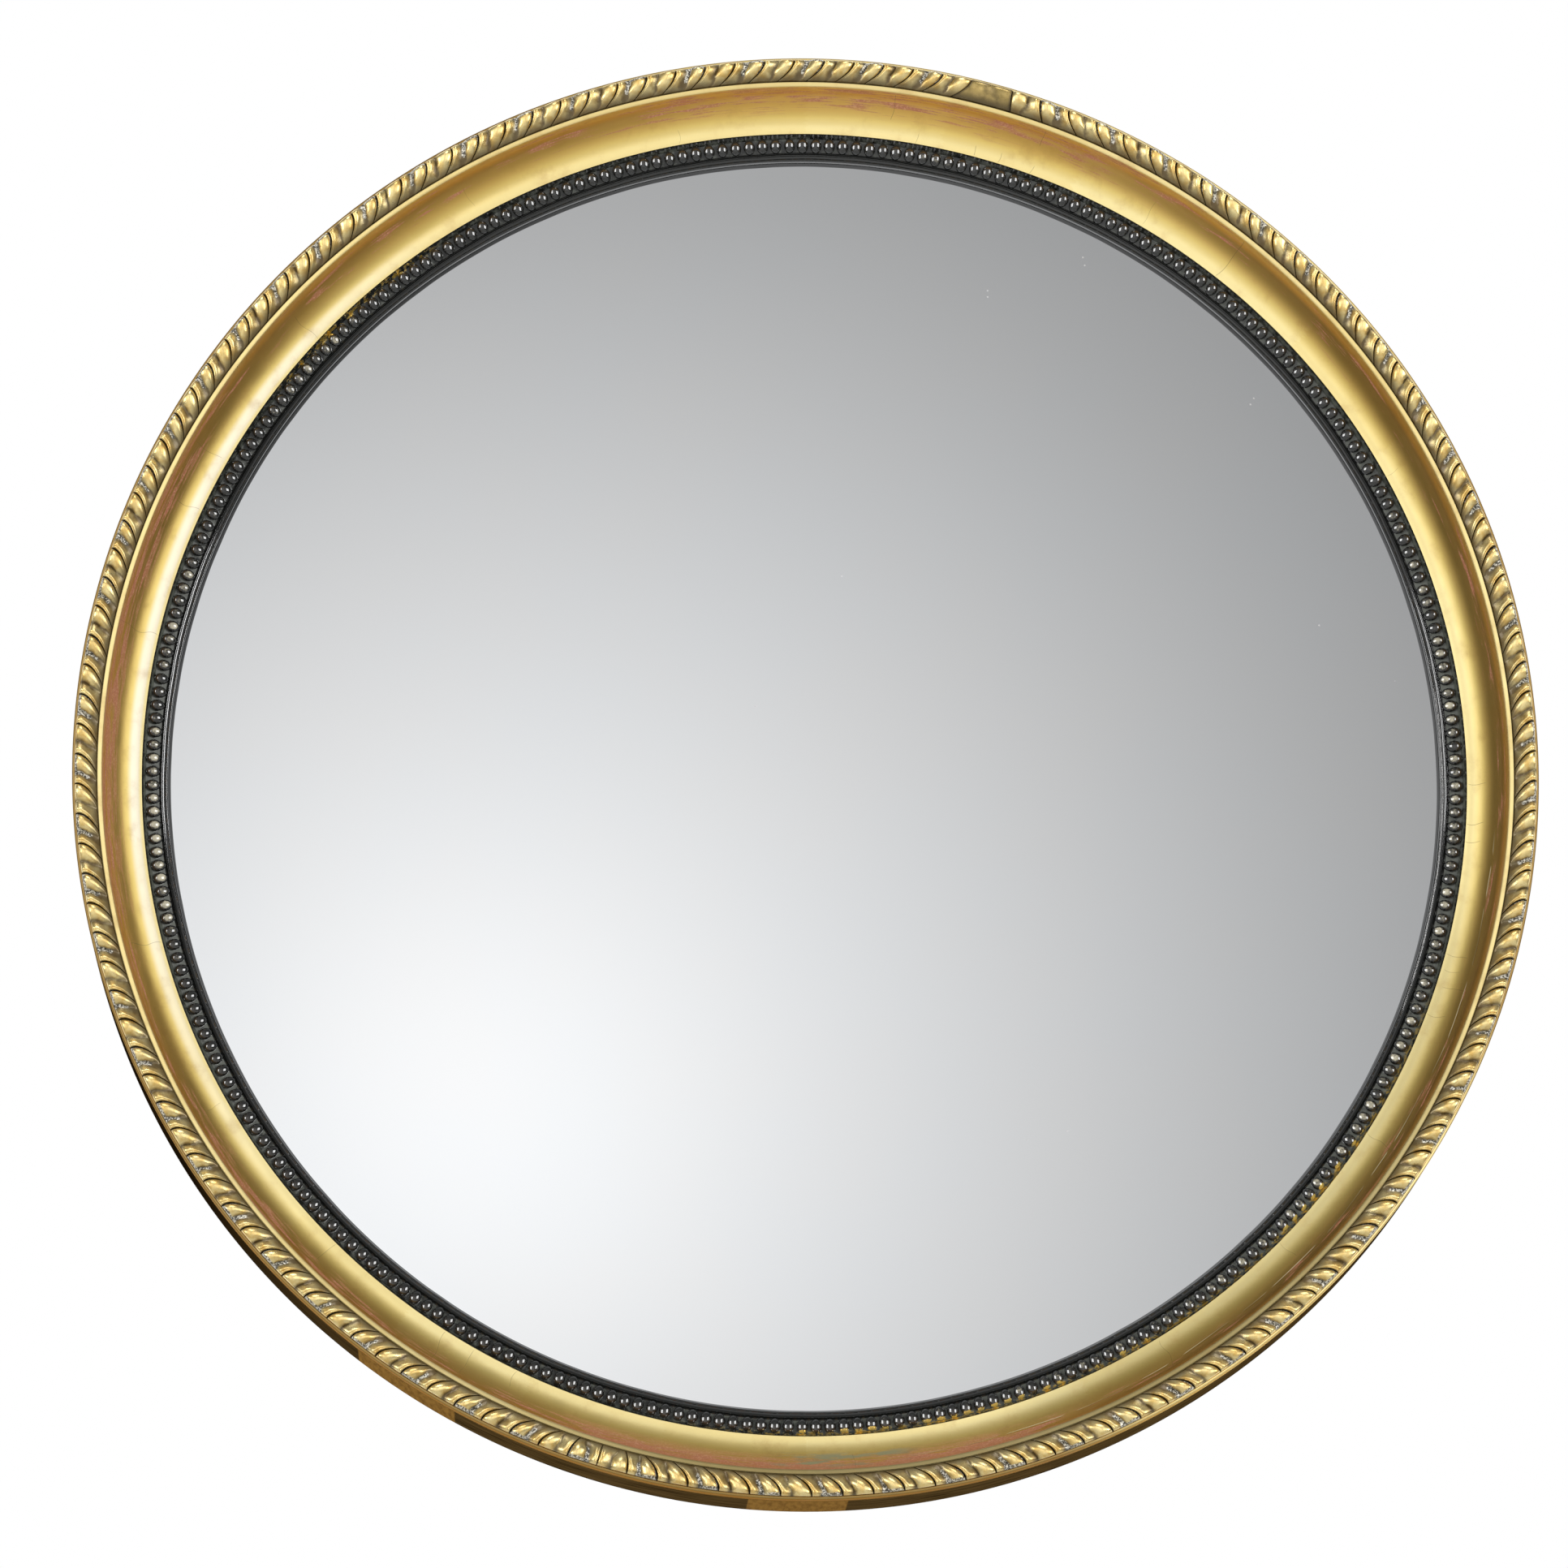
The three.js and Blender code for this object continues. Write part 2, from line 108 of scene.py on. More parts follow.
# 1 at a middle, falling as exp(-(away / half)^power) on both sides
def hill(away, half, power=2):
    return np.exp(-(away / half) ** power)


# puts an edited mesh back and makes it smooth below the sharp angle
def closeMesh(work, mesh, name, sharpAngle):
    work.to_mesh(mesh)
    work.free()
    mesh.shade_smooth()
    mesh.set_sharp_from_angle(angle=math.radians(sharpAngle))
    piece = bpy.data.objects.new(name, mesh)
    bpy.context.scene.collection.objects.link(piece)
    return piece


# a mesh from points and faces, welded and facing outwards
def makePiece(name, points, faces, attributes=None, sharpAngle=38, weld=0):
    mesh = bpy.data.meshes.new(name)
    mesh.from_pydata(points.reshape(-1, 3).tolist(), [], faces)
    for key, values in (attributes or {}).items():
        layer = mesh.attributes.new(key, "FLOAT", "POINT")
        layer.data.foreach_set("value", np.ascontiguousarray(values, np.float32).ravel())
    work = bmesh.new()
    work.from_mesh(mesh)
    if weld:
        bmesh.ops.remove_doubles(work, verts=work.verts, dist=weld)
    bmesh.ops.recalc_face_normals(work, faces=work.faces)
    return closeMesh(work, mesh, name, sharpAngle)


# faces between the rows of an index grid whose rows are closed
def bandFaces(here, ahead):
    return np.stack([here, np.roll(here, -1, 1), np.roll(ahead, -1, 1), ahead], axis=-1).reshape(-1, 4)


# a piece from a grid whose rows are closed sections; the rows close into a ring, or its ends are capped
def sectionPiece(name, points, closed=False, **options):
    rows, count = points.shape[:2]
    index = np.arange(rows * count).reshape(rows, count)
    if closed:
        faces = bandFaces(index, np.roll(index, -1, axis=0)).tolist()
    else:
        faces = bandFaces(index[:-1], index[1:]).tolist() + [index[0][::-1].tolist(), index[-1].tolist()]
    return makePiece(name, points, faces, **options)


# a piece takes its finish, rides on its body and stands for its nodes
def fit(piece, body, slotName, materials, *names):
    for material in materials:
        piece.data.materials.append(material)
    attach(piece, body)
    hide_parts(*names)


# a welded copy of a node's mesh, its flat parts joined and its sharp edges rounded by a bevel
def roundedCopy(name, node, bevelWidth):
    mesh = nodes[node].data.copy()
    mesh.name = name
    mesh.materials.clear()
    work = bmesh.new()
    work.from_mesh(mesh)
    bmesh.ops.remove_doubles(work, verts=work.verts, dist=0.001 * mm)
    bmesh.ops.dissolve_limit(work, angle_limit=math.radians(0.5), verts=work.verts, edges=work.edges)
    piece = closeMesh(work, mesh, name, 35)
    bevel = piece.modifiers.new("roundedEdges", "BEVEL")
    bevel.width = bevelWidth
    bevel.segments = 2
    bevel.limit_method = "ANGLE"
    bevel.angle_limit = math.radians(35)
    bevel.harden_normals = True
    return piece


# finishes

# settings that many nodes share
smooth = {"interpolation_type": "SMOOTHSTEP"}
times = {"operation": "MULTIPLY"}
greatest = {"operation": "MAXIMUM"}
blend = {"data_type": "RGBA"}
blendTimes = {"data_type": "RGBA", "blend_type": "MULTIPLY"}


# sRGB hex text to linear red, green, blue and alpha
def colour(text):
    parts = [int(text[place:place + 2], 16) / 255 for place in (0, 2, 4)]
    linear = [part / 12.92 if part <= 0.04045 else ((part + 0.055) / 1.055) ** 2.4 for part in parts]
    return (*linear, 1)


def mixPaints(texts):
    return {key: colour(text) for key, text in texts.items()}


# adds a node with its settings and gives an output: the one to take, or the first in use
# inputs are values or other nodes' outputs, by name or in the order of the inputs in use;
# values beyond the node's last input go on in further nodes like it
def addNode(tree, kind, inputs=(), take=None, **settings):
    node = tree.nodes.new("ShaderNode" + kind)
    for key, value in settings.items():
        setattr(node, key, value)
    if isinstance(inputs, dict):
        pairs, rest = [(node.inputs[key], value) for key, value in inputs.items()], []
    else:
        sockets = [socket for socket in node.inputs if socket.enabled]
        pairs, rest = zip(sockets, inputs), inputs[len(sockets):]
    for socket, value in pairs:
        if isinstance(value, bpy.types.NodeSocket):
            tree.links.new(value, socket)
        elif value is not None:
            socket.default_value = value
    output = node.outputs[take] if take else next((socket for socket in node.outputs if socket.enabled), None)
    return addNode(tree, kind, [output, *rest], **settings) if rest else output


# an empty material, and the function that adds a node to it
def newFinish(name):
    material = bpy.data.materials.new(name)
    material.use_nodes = True
    material.node_tree.nodes.clear()
    return material, partial(addNode, material.node_tree)


# ends a material with its surface; each bump is a height, its distance and its strength, the coarsest first
def closeFinish(add, surface, *bumps):
    normal = None
    for height, distance, strength in bumps:
        normal = add("Bump", {"Height": height, "Distance": distance, "Strength": strength, "Normal": normal})
    add("OutputMaterial", [add("BsdfPrincipled", {**surface, "Normal": normal})])


# values that a mesh carries at its points
def carried(add, *names):
    return [add("Attribute", take="Fac", attribute_name=name) for name in names]


# places on the ring from object coordinates: the point, the unit spoke, the radius and the depth
def ringPlace(add):
    point = add("TexCoord", take="Object")
    flat = add("VectorMath", [point, (1, 0, 1)], **times)
    return {
        "point": point,
        "spoke": add("VectorMath", [flat], operation="NORMALIZE"),
        "radius": add("VectorMath", [flat], operation="LENGTH"),
        "depth": add("SeparateXYZ", [point], take="Y"),
    }


# coordinates that follow the ring without a seam, for a pattern with this length and width of one cell
# spoke * goldRadius / length, plus (radius - depth) / width across
def alongRing(add, place, length, width):
    reach = add("Math", [place["radius"], place["depth"]], operation="SUBTRACT")
    side = add("CombineXYZ", [None, add("Math", [reach, 1 / width], **times)])
    return add("VectorMath", [place["spoke"], (goldRadius / length,) * 3, side], operation="MULTIPLY_ADD")


# strength at the middle angle of an arc, falling to 0 at half its width on both sides
def arcWindow(add, place, middle, half, strength=1, soft=0.5):
    turn = math.radians(middle)
    along = add("VectorMath", [place["spoke"], (math.sin(turn), 0, math.cos(turn))], operation="DOT_PRODUCT")
    low, high = math.cos(math.radians(half)), math.cos(math.radians(half * (1 - soft)))
    return add("MapRange", [along, low, high, 0, strength], **smooth)


# the strongest of several arcs at each place
def arcWindows(add, place, arcs, soft=0.5):
    return add("Math", [arcWindow(add, place, *arc, soft=soft) for arc in arcs], **greatest)


# 1 inside a band and 0 outside it; each side is a pair of limits, the one outside the band first
def band(add, value, rise, fall):
    return add("Math", [add("MapRange", [value, *limits], **smooth) for limits in (rise, fall)], **times)


# one colour laid over another for each pair of a share and a colour
def layers(add, surface, *pairs):
    for share, paint in pairs:
        surface = add("Mix", [share, surface, paint], **blend)
    return surface


# sizes read from the frame
frontNames = [f"front_felloe_{number}" for number in range(1, 7)]
backNames = [f"back_felloe_{number}" for number in range(1, 7)]
ropeNames = [f"rope_length_{number}" for number in range(1, 9)]
slipNames = [f"slip_section_{number}" for number in range(1, 5)]
beadNames = [f"bead_run_{number}" for number in range(1, 5)]
front, back, rope, slip = (ringCorners(*names) for names in (frontNames, backNames, ropeNames, slipNames))
plate = ringCorners("mirror_plate")

goldRadius = front[:, 0].min()
goldLevel = front[front[:, 0] < goldRadius + hair, 1].max()
lipLevel = front[front[:, 0] < goldRadius + hair, 1].min()
frontBack = front[:, 1].min()
rebateRadius = front[front[:, 1] < frontBack + hair, 0].min()
faceLevel = front[:, 1].max()
ropeFoot, ropeCrest = rope[:, 1].min(), rope[:, 1].max()
ropeInner, ropeOuter = rope[:, 0].min(), rope[:, 0].max()
bedInner = front[(front[:, 1] > faceLevel - hair) & (front[:, 0] < ropeInner), 0].max()
bedLevel = ropeFoot - 0.3 * mm
hollow = front[front[:, 0] < bedInner - 1 * mm]
hollowRadius, hollowLevel = hollow[:, 0].max(), hollow[:, 1].max()
edge = front[front[:, 0] > ropeOuter]
bedOuter = edge[:, 0].min()
edgeFace = edge[edge[:, 1] > faceLevel - hair, 0].max()
edgeRadius = edge[edge[:, 1] > ropeFoot - 5 * mm, 0].max()
flank = edge[(edge[:, 1] > frontBack + 5 * mm) & (edge[:, 1] < ropeFoot - 5 * mm)]
flankRadius, giltEdgeBack = flank[:, 0].max(), flank[:, 1].max()
flankAtFrontBack = front[:, 0].max()
sightRadius = slip[:, 0].min()
sightLevel = slip[slip[:, 0] < sightRadius + hair, 1].max()
print("sizes read from the frame")

# water gilding: beaten gold leaf on red bole over gesso, burnished, then worn by dusting.
# It gives a warm satin metal, pale by the beads and toned towards the fillet, with painted shade in arcs by
# the fillet, a painted highlight by the beads on the left, red streaks where the leaf is rubbed through and
# faint steps from leaf to leaf.
gilding = {
    "colours": {
        "leaf": "ffedac",
        "middle": "ffe28a",
        "warm": "ffd77c",
        "toned": "f4c76e",
        "brown": "e8b765",
        "dirt": "b98a4c",
        "creamHighlight": "fff6dc",
        "edge": "ab8e58",
        "edgeTint": "c89a4a",
        "filletLeaf": "ffe9a6",
        "shade": "33260f",
        "bole": "c67c60",
        "boleLight": "e0a486",
        "verdigris": "a09b72",
        "crackDark": "5a4020",
        "crackLipHighlightPaint": "fff3c4",
    },
    # tones by their share of the hollow's width
    "hollowTones": [
        (0, "leaf"), (0.2, "leaf"), (0.45, "middle"), (0.6, "warm"), (0.76, "toned"), (0.97, "brown")],
    "leafWidth": 80 * mm,
    "leafTones": (0.95, 0.92, 0.84),
    # length and width of one cell of the fine streaks and the broad ones, and the size of blotch and speck
    "streak": (42.8 * mm, 1.9231 * mm),
    "broad": (24.075 * mm, 6.6667 * mm),
    "blotch": 16.6667 * mm,
    "speck": 1.1111 * mm,
    # arcs are a middle, a half width and a strength
    "boleArcs": [(182, 28, 1.0), (228, 20, 0.5), (276, 30, 0.62), (6, 34, 0.4)],
    "greenArc": (177, 7),
    "creamHighlightArc": (280, 52),
    "edgeHighlightArcs": [(20, 48), (135, 26)],
    "outerHollowShadeArcs": [(90, 82, 0.6), (315, 42, 0.36), (226, 30, 0.28)],
    "filletShadeArc": (157, 50, 0.4),
    "lowerRightDarkeningArc": (131, 36, 0.27),
}


def gildingFinish():
    material, add = newFinish("waterGildingOverBole")
    place = ringPlace(add)
    paint = mixPaints(gilding["colours"])
    across = add("MapRange", [place["radius"], goldRadius, edgeRadius])
    atHollow, atFillet, atEdge = [
        (radius - goldRadius) / (edgeRadius - goldRadius) for radius in (hollowRadius, bedInner, bedOuter)]
    stops = [(share * atHollow, key) for share, key in gilding["hollowTones"]] + [
        (atHollow + 0.012, "filletLeaf"), (atFillet - 0.01, "filletLeaf"), (atFillet + 0.01, "shade"),
        (atEdge - 0.01, "shade"), (atEdge + 0.005, "edge"),
    ]
    tone = add("ValToRGB", [across])
    elements = tone.node.color_ramp.elements
    while len(elements) < len(stops):
        elements.new(0.5)
    for element, (position, key) in zip(elements, stops):
        element.position = position
        element.color = paint[key]
    # painted shade darkens the outer hollow, most on the right, and the fillet at the bottom right; the
    # hollow by the beads is darker at the lower right
    outerHollowShade = add("Math", [
        arcWindows(add, place, gilding["outerHollowShadeArcs"]),
        band(add, across, (atHollow * 0.4, atHollow * 0.85), (atHollow * 1.01, atHollow * 0.9))], **times)
    filletShade = add("Math", [
        arcWindow(add, place, *gilding["filletShadeArc"]),
        band(add, across, (atHollow, atHollow + 0.01), (atFillet + 0.01, atFillet))], **times)
    lowerRightDarkening = add("Math", [
        arcWindow(add, place, *gilding["lowerRightDarkeningArc"]),
        add("MapRange", [across, atHollow, atHollow * 0.9], **smooth)], **times)
    shading = add("MapRange", [add("Math", [outerHollowShade, filletShade, lowerRightDarkening], **greatest), 0, 1, 1, 0])
    tone = add("Mix", [1, tone, add("CombineColor", [shading] * 3)], **blendTimes)
    # painted highlight: a creamy arc beside the beads on the left, and two bright arcs of the outer edge
    creamHighlight = add("Math", [
        arcWindow(add, place, *gilding["creamHighlightArc"], soft=0.8),
        band(add, across, (atHollow * 0.03, atHollow * 0.12), (atHollow * 0.42, atHollow * 0.25))], **times)
    onEdge = add("MapRange", [across, atEdge - 0.005, atEdge + 0.005], **smooth)
    edgeHighlight = add("Math", [arcWindows(add, place, gilding["edgeHighlightArcs"], soft=0.6), onEdge], **times)
    tone = layers(add, tone, (creamHighlight, paint["creamHighlight"]), (edgeHighlight, paint["filletLeaf"]))
    streaks = add("TexNoise", [alongRing(add, place, *gilding["streak"]), 1, 5, 0.6])
    broad = add("TexNoise", [alongRing(add, place, *gilding["broad"]), 1, 4, 0.6])
    blotches = add("TexNoise", [place["point"], 1 / gilding["blotch"], 6, 0.62])
    specks = add("TexNoise", [place["point"], 1 / gilding["speck"], 2, 0.6])
    # each leaf of gold is laid over its neighbour, so the tone steps a little from leaf to leaf
    sideways = add("SeparateXYZ", [place["spoke"]])
    turn = add("Math", [sideways, sideways.node.outputs["Z"]], operation="ARCTAN2")
    leaves = round(2 * math.pi * goldRadius / gilding["leafWidth"])
    waver = add("MapRange", [streaks, 0.2, 0.8, -0.05, 0.05])
    leafPlace = add("Math", [turn, leaves / (2 * math.pi), waver], operation="MULTIPLY_ADD")
    leafTone = add("TexWhiteNoise", [add("Math", [leafPlace], operation="FLOOR")], noise_dimensions="1D")
    shades = [add("MapRange", [leafTone, 0, 1, low, 1]) for low in gilding["leafTones"]]
    gold = add("Mix", [1, tone, add("CombineColor", shades)], **blendTimes)
    gold = layers(add, gold, (add("MapRange", [blotches, 0.5, 0.78, 0, 0.3], **smooth), paint["dirt"]))
    # bole shows where the leaf is rubbed through, in streaks that follow the frame beside the fillet
    nearFillet = add("MapRange", [across, atHollow * 0.4, atHollow * 0.85], **smooth)
    inHollow = add("MapRange", [across, atHollow * 1.02, atHollow], **smooth)
    rubbed = add("Math", [
        add("Math", [nearFillet, 0.16], **times),
        add("Math", [arcWindows(add, place, gilding["boleArcs"], soft=0.8), 0.3], **times), streaks, broad])
    bareBole = add("MapRange", [rubbed, 1.24, 1.4, 0, 0.9], **smooth)
    bareBole = add("Math", [bareBole, inHollow, nearFillet], **times)
    speckled = add("MapRange", [specks, 0.45, 0.7], **smooth)
    bole = add("Mix", [speckled, paint["bole"], paint["boleLight"]], **blend)
    green = add("Math", [
        arcWindow(add, place, *gilding["greenArc"]), add("MapRange", [broad, 0.46, 0.6], **smooth),
        band(add, across, (atHollow * 0.4, atHollow * 0.55), (atHollow * 0.95, atHollow * 0.8))], **times)
    # cracks are dark; the pale line on the long crack's lip is painted highlight
    crack, ridge = carried(add, "crack", "ridge")
    surface = layers(
        add, gold, (bareBole, bole), (green, paint["verdigris"]),
        (crack, paint["crackDark"]), (ridge, paint["crackLipHighlightPaint"]))
    bare = add("Math", [bareBole, crack, green, ridge], **greatest)
    closeFinish(add, {
        "Base Color": surface,
        "Specular Tint": add("Mix", [onEdge, (1, 1, 1, 1), paint["edgeTint"]], **blend),
        "Metallic": add("MapRange", [bare, 0, 1, 1, 0.3]),
        "Roughness": add("MapRange", [blotches, 0.3, 0.75, 0.31, 0.42]),
    }, (blotches, 0.2 * mm, 0.5), (specks, 0.02 * mm, 0.6))
    return material


# water stain brushed on sawn pine: dry and matt, nearly black above and brown below, with the brush's long
# streaks, and two ochre patches low down
flankStain = {
    "colours": {
        "dark": "181008",
        "brown": "66502e",
        "streak": "33240f",
        "ochre": "a67c3e",
        "ochreDark": "866230",
    },
    "streak": (27.5143 * mm, 2.381 * mm),
    "grain": (2.4075 * mm, 16.6667 * mm),
    "patches": [(180.7, 3.9), (212.7, 4.5)],
    "brownArc": (178, 60),
}


# the stain's colour at a place of the flank, and the streaks it follows
def flankWash(add, place):
    paint = mixPaints(flankStain["colours"])
    streaks = add("TexNoise", [alongRing(add, place, *flankStain["streak"]), 1, 4, 0.55])
    grain = add("TexNoise", [alongRing(add, place, *flankStain["grain"]), 1, 4, 0.6])
    dark = add("MapRange", [grain, 0.35, 0.7], **smooth)
    ochre = add("Mix", [dark, paint["ochre"], paint["ochreDark"]], **blend)
    wash = layers(
        add, paint["dark"],
        (arcWindow(add, place, *flankStain["brownArc"], soft=0.6), paint["brown"]),
        (add("MapRange", [streaks, 0.4, 0.7], **smooth), paint["streak"]),
        (arcWindows(add, place, flankStain["patches"], soft=0.03), ochre))
    return wash, streaks


def flankFinish():
    material, add = newFinish("darkStainOnPine")
    wash, streaks = flankWash(add, ringPlace(add))
    closeFinish(add, {
        "Base Color": wash,
        "Roughness": add("MapRange", [streaks, 0.3, 0.7, 0.6, 0.8]),
        "Specular IOR Level": 0,
    }, (streaks, 0.15 * mm, 0.5))
    return material


# gilt frame: one skin of gesso and gold over the felloes, so their joints don't show
giltFrame = {
    "stationStep": 0.4,
    "hollowSteps": 30,
    "roundSteps": 6,
    "flankSteps": 5,
    "small": 0.25 * mm,
    "soft": 0.3 * mm,
    "waveHeight": 0.05 * mm,
    "waveCycles": (7, 13, 22, 37, 61),
    "filletRiser": 0.2 * mm,
    "filletDrop": 0.75 * mm,
    "arrisEnd": 4 * mm,
    "crackHalf": 0.032,
    "crackGuard": 0.07,
    "crackDepth": 0.035 * mm,
    # angle, from and to across the hollow, and how dark
    "radialCracks": [
        (7.3, 0.55, 1.0, 0.6), (9.9, 0.0, 0.3, 0.5), (14.7, 0.0, 0.3, 0.7), (17.3, 0.0, 0.28, 0.7),
        (20.0, 0.0, 0.22, 0.5), (20.4, 0.75, 1.0, 0.7), (31.0, 0.1, 0.7, 0.4), (39.0, 0.0, 1.0, 0.7),
        (62.0, 0.0, 0.4, 0.3), (90.6, 0.0, 0.5, 0.5), (94.0, 0.0, 0.45, 0.7), (95.5, 0.0, 0.4, 0.6),
        (105.7, 0.0, 0.6, 0.5), (107.0, 0.1, 0.5, 0.4), (108.5, 0.2, 0.8, 0.5), (111.0, 0.0, 0.5, 0.5),
        (123.0, 0.0, 0.9, 0.5), (135.0, 0.0, 0.6, 0.4), (148.5, 0.1, 0.9, 0.5), (176.3, 0.55, 1.0, 0.5),
        (205.5, 0.0, 0.5, 0.5), (209.5, 0.1, 0.8, 0.5), (212.2, 0.0, 0.9, 0.5), (224.5, 0.0, 0.7, 0.4),
        (240.0, 0.2, 0.6, 0.3), (255.0, 0.0, 0.8, 0.5), (282.0, 0.0, 1.0, 0.5), (293.5, 0.1, 0.7, 0.5),
        (298.5, 0.2, 0.9, 0.4), (312.0, 0.0, 0.8, 0.5), (330.0, 0.3, 0.8, 0.3), (349.0, 0.0, 0.4, 0.4),
    ],
    "longCrackFrom": 94,
    "longCrackTo": 172,
    "longCrackAcross": 0.75,
}


# section of the ring from the rebate over the face to the flank; each point is (radius, forward)
# the hollow: radius = goldRadius + width sin(turn), forward = hollowLevel - depth cos(turn)
def giltSection():
    extra = np.arcsin(giltFrame["longCrackAcross"]) + np.array([-0.025, 0, 0.025])
    turn = np.sort(np.concatenate([np.linspace(0, math.pi / 2, giltFrame["hollowSteps"]), extra]))
    hollowCurve = np.stack([
        goldRadius + (hollowRadius - goldRadius) * np.sin(turn),
        hollowLevel - (hollowLevel - goldLevel) * np.cos(turn),
    ], axis=1)
    # the fillet: a short steep riser, a soft corner, and a flat that leans a little to the glass
    drop, soft, small = giltFrame["filletDrop"], giltFrame["soft"], giltFrame["small"]
    riser = hollowRadius + giltFrame["filletRiser"]
    flat = faceLevel - drop
    filletCurve = [
        [riser - giltFrame["filletRiser"] * 0.4, flat - 4 * soft], [riser, flat - soft],
        [riser + soft * 0.3, flat - soft * 0.3], [riser + soft, flat + soft * 0.25],
        [(hollowRadius + bedInner) / 2, flat + drop * 0.45], [bedInner - soft, faceLevel - soft * 0.1],
        [bedInner - soft * 0.3, faceLevel - soft * 0.3], [bedInner, faceLevel - soft],
    ]
    roundTurn = np.linspace(0, math.pi / 2, giltFrame["roundSteps"])
    roundSize = edgeRadius - edgeFace
    arris = np.stack([
        edgeFace + roundSize * np.sin(roundTurn),
        faceLevel - roundSize + roundSize * np.cos(roundTurn),
    ], axis=1)
    level = np.linspace(giltEdgeBack, frontBack, giltFrame["flankSteps"])
    slant = (giltEdgeBack - level) / (giltEdgeBack - frontBack)
    flankCurve = np.stack([flankRadius + (flankAtFrontBack - flankRadius) * slant, level], axis=1)
    start = [
        [rebateRadius, frontBack], [rebateRadius, lipLevel],
        [goldRadius, lipLevel], [goldRadius, goldLevel - small],
    ]
    bed = [
        [bedInner, bedLevel], [bedOuter, bedLevel],
        [bedOuter, faceLevel - small], [bedOuter + small, faceLevel],
    ]
    side = [
        [edgeRadius, faceLevel - giltFrame["arrisEnd"]], [edgeRadius, giltEdgeBack + small],
        [edgeRadius - small / 2, giltEdgeBack],
    ]
    section = np.concatenate([start, hollowCurve, filletCurve, bed, arris, side, flankCurve])
    return section, len(start), len(start) + len(turn)


def makeGiltFrame():
    random = np.random.RandomState(4)
    section, hollowFirst, hollowLast = giltSection()
    across = np.clip((section[:, 0] - goldRadius) / (hollowRadius - goldRadius), 0, 1)
    inHollow = np.zeros(len(section))
    inHollow[hollowFirst:hollowLast] = 1
    half, guard, depth = giltFrame["crackHalf"], giltFrame["crackGuard"], giltFrame["crackDepth"]
    angles = list(np.arange(0, fullTurn, giltFrame["stationStep"]))
    for crackAngle, *_ in giltFrame["radialCracks"]:
        angles = [angle for angle in angles if angleApart(angle, crackAngle) > 1.5 * guard]
        angles += [crackAngle + shift for shift in (-guard, -half, 0, half, guard)]
    angles = np.sort(np.array(angles) % fullTurn)[:, None]
    turn = np.radians(angles)
    # hand-rubbed gesso: the surface waves by sums of slow sines round the ring and across it
    wave = np.zeros((len(angles), len(section)))
    for cycles in giltFrame["waveCycles"]:
        phase, tilt = random.uniform(0, 2 * math.pi), random.uniform(-3, 3)
        wave = wave + np.sin(turn * cycles + phase + tilt * across) / 2.2
    wave = wave * giltFrame["waveHeight"]
    angleGrid = np.repeat(angles, len(section), axis=1)
    crack, sink = np.zeros_like(wave), np.zeros_like(wave)
    for crackAngle, low, high, dark in giltFrame["radialCracks"]:
        lean, bend = random.uniform(-0.5, 0.5), random.uniform(0.05, 0.16)
        path = lean * (across - 0.5) + bend * np.sin(across * random.uniform(5, 11))
        away = angleApart(angles, crackAngle)
        angleGrid = angleGrid + hill(away, 0.8) * path * inHollow
        onLine = (away < half / 2) * (across > low) * (across < high) * inHollow
        crack = np.maximum(crack, onLine * dark)
        sink = np.maximum(sink, onLine * depth)
    # one long crack follows the grain of the wood under the gesso, with a pale line of painted highlight on
    # its lip
    first, last, height = (giltFrame["longCrack" + key] for key in ("From", "To", "Across"))
    inArc = smoothStep(first, first + 3, angles) * smoothStep(last, last - 3, angles)
    broken = (np.sin(turn * 70) + np.sin(turn * 113 + 1) > -0.75) * inArc
    drift = 0.5 * mm * (np.sin(turn * 17) + 0.6 * np.sin(turn * 41 + 2)) * inArc
    drift = drift * hill(across - height, 0.12) * inHollow
    line = int(np.argmin(np.abs(across - height) + (1 - inHollow) * 9))
    onCrackLipHighlight, onCrack = (np.arange(len(section)) == place for place in (line, line + 1))
    ridge = onCrackLipHighlight * broken * (0.5 + 0.35 * np.sin(turn * 29 + 2))
    crack = np.maximum(crack, onCrack * broken * 0.5)
    sink = np.maximum(sink, onCrack * broken * depth * 2)
    # the hollow's normal is (-sin(lean), cos(lean)), where sin(lean) = across; drift runs along the curve
    lean = np.arcsin(across)
    lift = wave * inHollow - sink
    radius = section[:, 0] - np.sin(lean) * lift + np.cos(lean) * drift
    forward = section[:, 1] + np.cos(lean) * lift + np.sin(lean) * drift
    points = ringPoints(angleGrid, radius, forward)
    attributes = {"crack": crack, "ridge": ridge}
    piece = sectionPiece("giltFrame", points, closed=True, attributes=attributes, sharpAngle=32)
    fit(piece, "frame", "giltwood", [gildingFinish(), flankFinish()], *frontNames)
    # the flank, the back of the ring and the rebate are stained wood
    centres = np.zeros(len(piece.data.polygons) * 3)
    piece.data.polygons.foreach_get("center", centres)
    x, y, z = centres.reshape(-1, 3).T
    away = np.hypot(x, z)
    stained = (-y < giltEdgeBack) & (away > bedOuter) | (-y < lipLevel + hair) & (away < hollowRadius)
    piece.data.polygons.foreach_set("material_index", stained.astype(np.int32))


makeGiltFrame()
print("gilt frame made")
